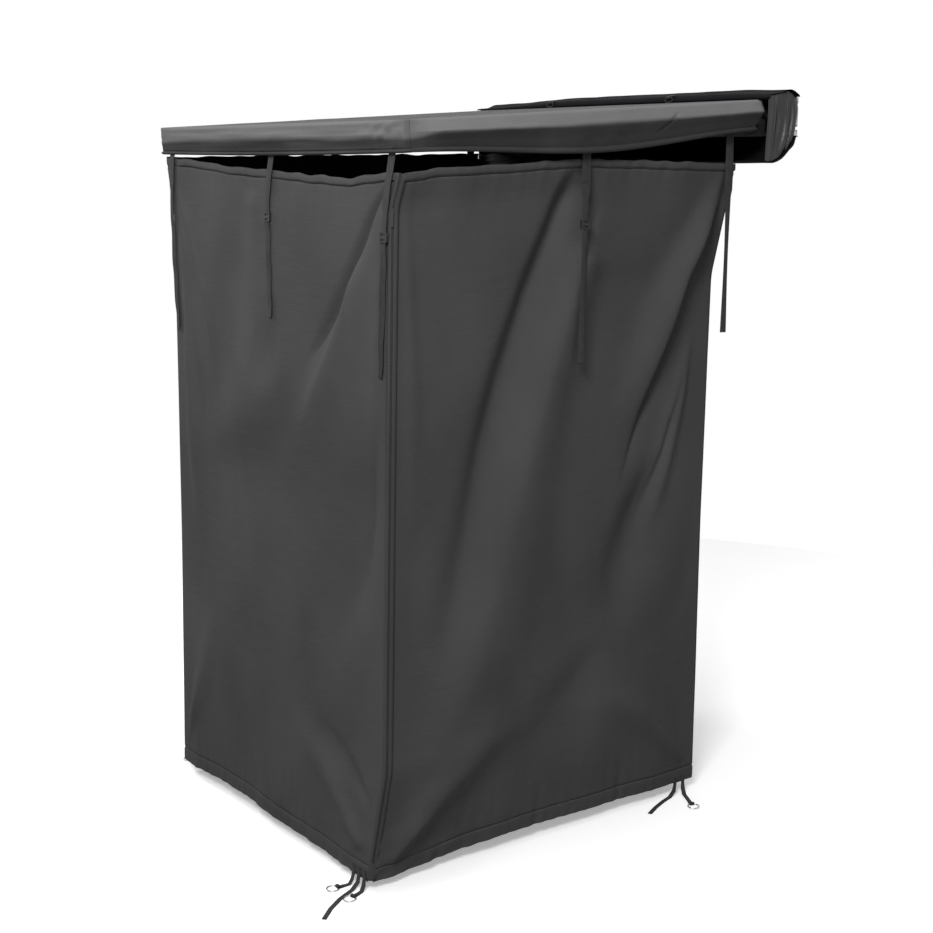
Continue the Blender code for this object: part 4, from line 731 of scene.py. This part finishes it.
def outer_skirt_piece(look):
    """Skirt outside the front bar, wrapped round both corners, with a thick rolled hem."""
    half = SKIRT_IN + 0.003
    radius = SKIRT_CORNER_RADIUS
    straight = half - radius
    turn = math.pi / 2 * radius
    reach = straight + turn + SKIRT_WRAP
    ends = np.linspace(straight, reach, 14)
    columns = np.concatenate([-ends[::-1], np.linspace(-straight, straight, 190)[1:-1], ends])
    downs = np.unique(np.concatenate([np.linspace(0, 1, 34), [0.82, 0.84, 0.86, 0.88, 0.92, 0.96]]))
    s, v = np.meshgrid(columns, downs, indexing="ij")
    past = np.maximum(np.abs(s) - straight, 0.0)
    angle = np.clip(past / radius, 0.0, math.pi / 2)
    beyond = np.maximum(past - turn, 0.0)
    flat_x = np.sign(s) * (np.minimum(np.abs(s), straight) + radius * np.sin(angle))
    flat_y = SKIRT_FRONT - 0.0007 + radius * (1 - np.cos(angle)) + beyond
    middle = np.cos(math.pi / 2 * np.clip(s / half, -1, 1))
    out = OUTER_BULGE * np.sqrt(middle) * np.interp(v, *zip(*OUTER_PROFILE))
    out += 0.005 * np.exp(-((v - 0.945) / 0.038) ** 2) - 0.0034 * np.exp(-((v - 0.870) / 0.016) ** 2)
    crumple = smooth((s - 0.36) / 0.16)
    calm = np.sin(math.pi * np.minimum(v * 1.1, 1.0)) * (1 - smooth(past / 0.008))
    wave = ripple(s, v * 0.04, 3.0, 0.09) * 0.0024
    streak = ripple(s * 0.10, v * 0.10, 7.0, 0.016) * 0.0028
    rough = ripple(s, v * 0.09, 11.0, 0.026) * 0.006 * crumple
    out = np.maximum(out + (wave + streak + rough) * calm, -0.0002)
    x = flat_x + np.sign(s) * np.sin(angle) * out
    y = flat_y - np.cos(angle) * out
    drop = OUTER_DROP + 0.004 * middle
    points = to_world(np.stack([x, y, ROOF_TOP - 0.0006 - (drop - HEM_LOSS) * v], axis=-1))
    return grid_piece("outer_skirt", points, look, CLOTH_SKIN, flip=True)


# Storage cover

COVER_HALF = 0.612
COVER_FRONT = -0.125
COVER_EDGE = 0.0427
COVER_LIP = -0.142
COVER_CROWN = 0.016
COVER_SKIN = 0.0016
GUSSET_AT = 0.6009
RING_AT = (0.25, -0.1306, 0.0573)
TAB_WIDTH = 0.015


def cover_top_line(x):
    """The upper flap's outline, from the rail to its front edge."""
    swell = float(blend([(-COVER_HALF, 0.15), (-0.15, 1.0), (0.45, 1.0), (COVER_HALF, 0.7)], x))
    crown = COVER_CROWN * swell
    line = [(-0.009, 0.0503), (-0.015, 0.0563), (-0.045, 0.0593 + crown * 0.7)]
    line += [(-0.085, COVER_EDGE + 0.004 + crown), (COVER_FRONT + 0.014, COVER_EDGE + 0.003 + crown * 0.85)]
    return line + [(COVER_FRONT, COVER_EDGE + crown * 0.45), (COVER_FRONT, COVER_EDGE)]


def cover_top_piece(look):
    """Upper flap: padded, a little uneven, with a stitched fold along its front edge."""
    rows = []
    steps = np.linspace(0, 1, 44)
    for x in np.linspace(-COVER_HALF, COVER_HALF, 190):
        row = []
        for share, (y, z) in zip(steps, curve_through(cover_top_line(x), steps)):
            calm = math.sin(math.pi * share)
            seam = 0.0012 * math.exp(-((share - 0.80) / 0.012) ** 2)
            z += 0.0009 + ripple(x * 0.5, y * 2, 1.0, 0.05) * 0.0022 * calm - seam
            row.append((x, y - 0.0008 * smooth((share - 0.6) / 0.2), z))
        rows.append(row)
    return grid_piece("cover_upper_flap", rows, look, COVER_SKIN)


def cover_lower_line():
    line = [(-0.011, -0.0503), (-0.018, -0.0506), (-0.027, -0.0723), (-0.0426, -0.0845)]
    return line + [(-0.071, -0.1070), (-0.1022, -0.118), (-0.1278, -0.118), (COVER_LIP, -0.112)]


def cover_lower_piece(look):
    """Lower flap: hangs open from the rail like a gutter, its lip a little wavy."""
    rows = []
    steps = np.linspace(0, 1, 36)
    for x in np.linspace(-COVER_HALF, COVER_HALF, 190):
        sag = 0.004 * math.cos(math.pi / 2 * x / COVER_HALF)
        row = []
        for share, (y, z) in zip(steps, curve_through(cover_lower_line(), steps)):
            weight = min(1.0, max(0.0, y / COVER_LIP * 1.5 - 0.2))
            wave = ripple(x, y, 6.0, 0.09) * 0.0022 * weight * share
            row.append((x, y, z - 0.0009 - sag * weight + wave))
        rows.append(row)
    return grid_piece("cover_lower_flap", rows, look, COVER_SKIN)


def cover_end_piece(name, side, look):
    """Gathered gusset: deep soft folds that fan from the top back corner to the lower lip."""
    low_marks = [y for y, _ in cover_lower_line()[2:7]]
    rising_top = sorted(cover_top_line(side * GUSSET_AT)[:6])
    rising_low = sorted(cover_lower_line())
    rows = []
    for v in np.linspace(0, 1, 110):
        y_top = -0.009 - 0.110 * v
        y_low = float(np.interp(v, np.linspace(0, 1, len(low_marks)), low_marks))
        z_top = np.interp(y_top, *zip(*rising_top)) - 0.0009
        z_low = np.interp(y_low, *zip(*rising_low)) + 0.0003
        row = []
        for t in np.linspace(0, 1, 60):
            y = y_top + (y_low - y_top) * t
            z = z_top + (z_low - z_top) * t
            spread = math.sqrt(t) * (1 - t ** 6) * math.sin(math.pi * min(v * 1.2, 1.0))
            fold = 0.009 * math.sin(5 * math.pi * v + 0.7 * math.sin(3 * t)) * spread
            fold += 0.0034 * math.sin(13 * math.pi * v + 2.0 * math.sin(4 * t) + side) * spread
            crease = 0.0022 * ripple(v * 0.5, t * 0.08, side * 2.0, 0.045) * math.sin(math.pi * t)
            x = GUSSET_AT + 0.0008 + 0.010 * math.sin(math.pi * t) * (1 - v) + fold + crease
            row.append((side * x, y, z))
        rows.append(row)
    return grid_piece(name, rows, look, CLOTH_SKIN, flip=side > 0)


def ring_tab_piece(name, side, look):
    """The short folded webbing that holds a D-ring to the upper flap."""
    x, y, z = RING_AT
    spots = [(-0.104, 0.0648), (-0.114, 0.0632), (-0.124, 0.0608)]
    for degrees in range(90, 271, 20):
        angle = math.radians(degrees)
        spots.append((y + 0.0027 * math.cos(angle), z + 0.0027 * math.sin(angle)))
    spots.append((-0.1245, 0.0548))
    path = [Vector((side * x, spot_y, spot_z)) for spot_y, spot_z in spots]
    return webbing_piece(name, path, Vector((1, 0, 0)), [TAB_WIDTH] * len(path), look)


# Webbing

def rings_of(node, top):
    """Centres of a hanging strap's cross-sections below a height, from top to tail."""
    below = [v.co.copy() for v in node.data.vertices if v.co.z < top]
    groups = []
    for point in sorted(below, key=lambda p: -p.z):
        if groups and groups[-1][0].z - point.z < 0.005:
            groups[-1].append(point)
        else:
            groups.append([point])
    return [sum(group, Vector()) / len(group) for group in groups]


def webbing_piece(name, path, across, widths, look, twist=0.0):
    """A strap with softly rounded edges along a path, turned by up to twist towards its tail."""
    half = [(-1.0, -0.6), (-0.94, -1.0), (0.94, -1.0), (1.0, -0.6)]
    section = half + [(-a, -b) for a, b in half]
    verts = []
    uvs = []
    travelled = 0.0
    for i, point in enumerate(path):
        before = path[max(i - 1, 0)]
        after = path[min(i + 1, len(path) - 1)]
        run = (after - before).normalized()
        side = (across - run * across.dot(run)).normalized()
        share = i / (len(path) - 1)
        side = Matrix.Rotation(twist * math.sin(2.3 * math.pi * share) * share, 3, run) @ side
        up = run.cross(side)
        travelled += (point - before).length
        for a, b in section:
            verts.append(point + side * a * widths[i] / 2 + up * b * WEB_THICK / 2)
            uvs.append((a * widths[i] / 2, travelled))
    count = len(section)
    faces = []
    for i in range(len(path) - 1):
        for k in range(count):
            m = (k + 1) % count
            faces.append((i * count + k, i * count + m, (i + 1) * count + m, (i + 1) * count + k))
    faces.append(tuple(range(count))[::-1])
    faces.append(tuple((len(path) - 1) * count + k for k in range(count)))
    return new_object(name, verts, faces, look, uvs)


def tube_band(name, centre, along_bar, look):
    """The strap's loop round a frame tube."""
    width, height = TUBE
    points = []
    radius = 0.003
    for corner, (sx, sy) in enumerate(((1, 1), (-1, 1), (-1, -1), (1, -1))):
        for step in range(5):
            angle = math.radians(90 * corner + 22.5 * step)
            a = sx * (width / 2 - radius + WEB_AWAY) + radius * math.cos(angle)
            b = sy * (height / 2 - radius + WEB_AWAY) + radius * math.sin(angle)
            points.append((a, b))
    points.append(points[0])
    path = []
    for a, b in points:
        local = (centre[0], centre[1] + a, b) if along_bar else (centre[0] + a, centre[1], b)
        path.append(FRAME_PLANE @ Vector(local))
    across = Vector((1, 0, 0)) if along_bar else FRAME_PLANE.to_3x3() @ Vector((0, 1, 0))
    return webbing_piece(name, path, across, [WEB_WIDTH] * len(path), look)


def strap_places():
    """Straps by name: the loop's place in the frame's plane, if it goes round the bar, body and wall."""
    places = {"middle_outer": ((0.0, BAR_AT), True, "front_frame", "wall_outer")}
    for word, side in SIDES:
        places[f"corner_{word}"] = ((side * LOOP_CORNER, BAR_AT), True, "front_frame", "wall_outer")
    for word, side in SIDES:
        arm = side * ARM_AT
        places[f"middle_{word}"] = ((arm, LOOP_MIDDLE), False, f"outer_{word}", f"wall_{word}")
        places[f"rear_{word}"] = ((arm, LOOP_REAR), False, f"inner_{word}", f"wall_{word}")
    return places


def strap_marks(centre, node):
    """The strap's bends from under the tube down to its tail."""
    start = FRAME_PLANE @ Vector((centre[0], centre[1], -TUBE[1] / 2 - WEB_AWAY))
    return [start] + rings_of(node, start.z - 0.006)


def hanging_straps(looks):
    """Detailed webbing in place of each hanging strap of the part."""
    for word, (centre, along_bar, body, _) in strap_places().items():
        node = frame["nodes"][f"strap_{word}"]
        marks = strap_marks(centre, node)
        path = [Vector(p) for p in curve_through(marks, np.linspace(0, 1, 170))]
        across = Vector((1, 0, 0)) if along_bar else Vector((0, 1, 0))
        kink = marks[min(5, len(marks) - 1)].z
        wider = WEB_WIDTH * 0.92 - TAIL_WIDTH
        widths = [TAIL_WIDTH + wider * float(smooth((p.z - kink) / 0.02)) for p in path]
        strap = webbing_piece(f"webbing_{word}", path, across, widths, looks["webbing"], TAIL_TWIST)
        loop = tube_band(f"webbing_loop_{word}", centre, along_bar, looks["webbing"])
        for piece in (strap, loop):
            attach(piece, body)
        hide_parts(node.name)


def copied_node(name, new_name, look, bevel):
    """A softened copy of a part's solid, for small pieces whose outline is already right."""
    piece = add_object(new_name, frame["nodes"][name].data.copy())
    give_look(piece, look)
    weld = piece.modifiers.new("weld", "WELD")
    weld.merge_threshold = 0.00001
    soften = piece.modifiers.new("soften", "BEVEL")
    soften.width = bevel
    soften.segments = 2
    apply_modifiers(piece)
    piece.data.shade_smooth()
    return piece


def peg_straps(looks):
    for word, body in (("near", "front_frame"), ("left", "front_frame"), ("right", "root"), ("rear", "root")):
        piece = copied_node(f"peg_strap_{word}", f"peg_webbing_{word}", looks["webbing"], 0.0003)
        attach(piece, body)
        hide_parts(f"peg_strap_{word}")


# Zip

ZIP_LAP = 0.016
ZIP_HALF_LAP = 0.011
ZIP_TURN = 0.006
ZIP_SKIN = 0.0012
ZIP_LIFT = WALL_SKIN / 2 + ZIP_SKIN
ZIP_SPAN = (0.001, 0.997)
COIL_END = 0.966
COIL_LENGTH = 1.7
TOOTH_PITCH = 0.0034


def zip_middle(walls, share):
    """Points down the middle of the zip, over the cut between the two walls."""
    outer, right = walls["wall_outer"], walls["wall_right"]
    first = outer.upright(-ZIP_TURN, share) + outer.outward * ZIP_LIFT
    second = right.upright(ZIP_TURN, share) + right.outward * ZIP_LIFT
    return (first + second) / 2


def zip_tape(walls, looks):
    """Tape sewn over the near corner, from the outer wall round to the right wall."""
    outer, right = walls["wall_outer"], walls["wall_right"]
    share = np.linspace(*ZIP_SPAN, 260)
    laps = (ZIP_TURN, ZIP_HALF_LAP, ZIP_LAP)
    columns = [outer.upright(-lap, share) + outer.outward * ZIP_LIFT for lap in laps[::-1]]
    columns += [right.upright(lap, share) + right.outward * ZIP_LIFT for lap in laps]
    points = np.stack(columns, axis=1)
    tape = grid_piece("zip_tape_cloth", points, looks["zip_cloth"], ZIP_SKIN, flip=True)
    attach(tape, "front_frame")
    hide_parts("zip_tape")


def zip_teeth(walls, looks):
    """The moulded teeth down the middle of the tape."""
    out = np.array((1.0, -1.0, 0.0)) / math.sqrt(2)
    beside = np.array((1.0, 1.0, 0.0)) / math.sqrt(2)
    verts = []
    faces = []
    shares = np.linspace(ZIP_SPAN[0], COIL_END, int(COIL_LENGTH / TOOTH_PITCH))
    for centre in zip_middle(walls, shares):
        base = len(verts)
        for rise, size in ((0.0004, 1.0), (0.0014, 0.7)):
            for a, b in ((-1, -1), (1, -1), (1, 1), (-1, 1)):
                rim = beside * a * 0.003 + np.array((0, 0, b * 0.0011))
                verts.append(centre + out * rise + rim * size)
        for k in range(4):
            m = (k + 1) % 4
            faces.append((base + k, base + m, base + 4 + m, base + 4 + k))
        faces += [(base + 4, base + 5, base + 6, base + 7), (base + 3, base + 2, base + 1, base)]
    coil = new_object("zip_coil", verts, faces, looks["zip_coil"])
    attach(coil, "front_frame")


# Studio

def light_world():
    """A world that is pure white to the camera and to mirrored rays, but lights the part softly."""
    world = bpy.context.scene.world or bpy.data.worlds.new("studio")
    bpy.context.scene.world = world
    world.use_nodes = True
    nodes, links = world.node_tree.nodes, world.node_tree.links
    nodes["Background"].inputs["Color"].default_value = (1.0, 1.0, 1.0, 1.0)
    rays = nodes.new("ShaderNodeLightPath")
    seen = nodes.new("ShaderNodeMath")
    seen.operation = "MAXIMUM"
    links.new(rays.outputs["Is Camera Ray"], seen.inputs[0])
    links.new(rays.outputs["Is Glossy Ray"], seen.inputs[1])
    strength = nodes.new("ShaderNodeMapRange")
    strength.inputs["To Min"].default_value = WORLD_LIGHT
    links.new(seen.outputs[0], strength.inputs["Value"])
    links.new(strength.outputs["Result"], nodes["Background"].inputs["Strength"])


def lay_floor():
    """A round floor that looks paler to the camera than to the part above it."""
    mesh = bpy.data.meshes.new("floor")
    turns = [math.radians(360 / FLOOR_SIDES * k) for k in range(FLOOR_SIDES)]
    rim = [(FLOOR_REACH * math.cos(a), FLOOR_REACH * math.sin(a), 0.0) for a in turns]
    mesh.from_pydata(rim, [], [tuple(range(len(rim)))])
    look = Look("floor_paint", (FLOOR_TONE,) * 3, 0.9)
    seen = look.node("ShaderNodeLightPath").outputs["Is Camera Ray"]
    look.shade(seen, 1.0, FLOOR_SEEN)
    look.value("Emission Color", (1.0, 1.0, 1.0, 1.0))
    look.links.new(look.maths("MULTIPLY", seen, FLOOR_GLOW), look.shader.inputs["Emission Strength"])
    mesh.materials.append(look.material)
    floor = add_object("floor", mesh)
    floor.location = (*FLOOR_CENTRE, GROUND)


def hang_lamps():
    for name, (place, target, size, watts) in LAMPS.items():
        light = bpy.data.lights.new(name, "AREA")
        light.shape = "SQUARE"
        light.size = size
        light.energy = watts
        lamp = add_object(name, light)
        lamp.location = place
        lamp.rotation_euler = (Vector(target) - Vector(place)).to_track_quat("-Z", "Y").to_euler()


def camera():
    data = bpy.data.cameras.new("camera")
    data.lens = CAMERA_LENS
    data.sensor_width = SENSOR
    data.dof.use_dof = False
    view = add_object("camera", data)
    view.location = CAMERA_AT
    level = math.cos(CAMERA_DOWN)
    heading = (math.cos(CAMERA_HEADING) * level, math.sin(CAMERA_HEADING) * level)
    ahead = Vector((*heading, -math.sin(CAMERA_DOWN)))
    view.rotation_euler = ahead.to_track_quat("-Z", "Y").to_euler()
    scene = bpy.context.scene
    scene.camera = view
    scene.view_settings.view_transform = "Standard"


def dress_frame(looks):
    """Every solid of the part gets the look of its own material."""
    slots = {item["node"]: item["material_slot"] for item in frame["record"]["subparts"]}
    for name, node in frame["nodes"].items():
        give_look(node, looks["dark_plated" if name in DARK_METAL else slots[name]])


def wall_pieces(walls, looks):
    """The four walls with their rows of stitches."""
    details = {
        "wall_outer": (180, 260, "front_frame", None, ["webbing_middle_outer", "webbing_corner_right"], 1.12),
        "wall_right": (180, 260, "root", ZIPPED_SHARE, ["webbing_middle_right", "webbing_rear_right"], 1.09),
        "wall_left": (110, 170, "root", FREE_SHARE, ["webbing_middle_left", "webbing_rear_left"], 1.09),
        "wall_rear": (100, 140, "root", None, ["wall_right_cloth", "wall_left_cloth"], 1.10),
    }
    for name, (columns, rows, body, keep, hangs_from, width) in details.items():
        wall = walls[name]
        piece = wall.piece(f"{name}_cloth", looks["wall_cloth"], columns, rows)
        settle(piece, body, keep)
        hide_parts(name)
        for word, distance in (("top", TOP_HEM - 0.003), ("foot", 0.003 - FOOT_HEM)):
            row = hem_stitches(f"{name}_{word}_stitches", wall, distance, looks["thread"])
            settle(row, body, keep)


def roof_pieces(looks):
    roof = roof_piece(looks["roof_cloth"])
    settle(roof, "root", FOLDED_SHARE)
    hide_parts("roof_canopy")
    outer = outer_skirt_piece(looks["skirt_cloth"])
    settle(outer, "front_frame")
    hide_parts("valance_outer")
    for word, side in SIDES:
        skirt = side_skirt_piece(f"side_skirt_{word}", side, looks["skirt_cloth"])
        settle(skirt, "root", FOLDED_SHARE)
        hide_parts(f"valance_{word}")


def cover_pieces(looks):
    coat = looks["cover_skin"]
    top = cover_top_piece(coat)
    lower = cover_lower_piece(coat)
    for word, side in SIDES:
        tab = ring_tab_piece(f"ring_tab_{word}", side, looks["webbing"])
        settle(tab, "root")
    for piece, node in ((top, "cover_top"), (lower, "cover_lower")):
        settle(piece, "root")
        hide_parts(node)
    for word, side in SIDES:
        end = cover_end_piece(f"cover_gusset_{word}", side, looks["gusset"])
        settle(end, "root")
        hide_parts(f"cover_end_{word}")


def main():
    looks = make_looks()
    dress_frame(looks)
    walls = make_walls()
    for word, (centre, _, _, wall) in strap_places().items():
        marks = strap_marks(centre, frame["nodes"][f"strap_{word}"])[2:]
        walls[wall].straps.append(np.array(marks))
    wall_pieces(walls, looks)
    roof_pieces(looks)
    cover_pieces(looks)
    hanging_straps(looks)
    peg_straps(looks)
    zip_tape(walls, looks)
    zip_teeth(walls, looks)
    light_world()
    lay_floor()
    hang_lamps()
    camera()


main()
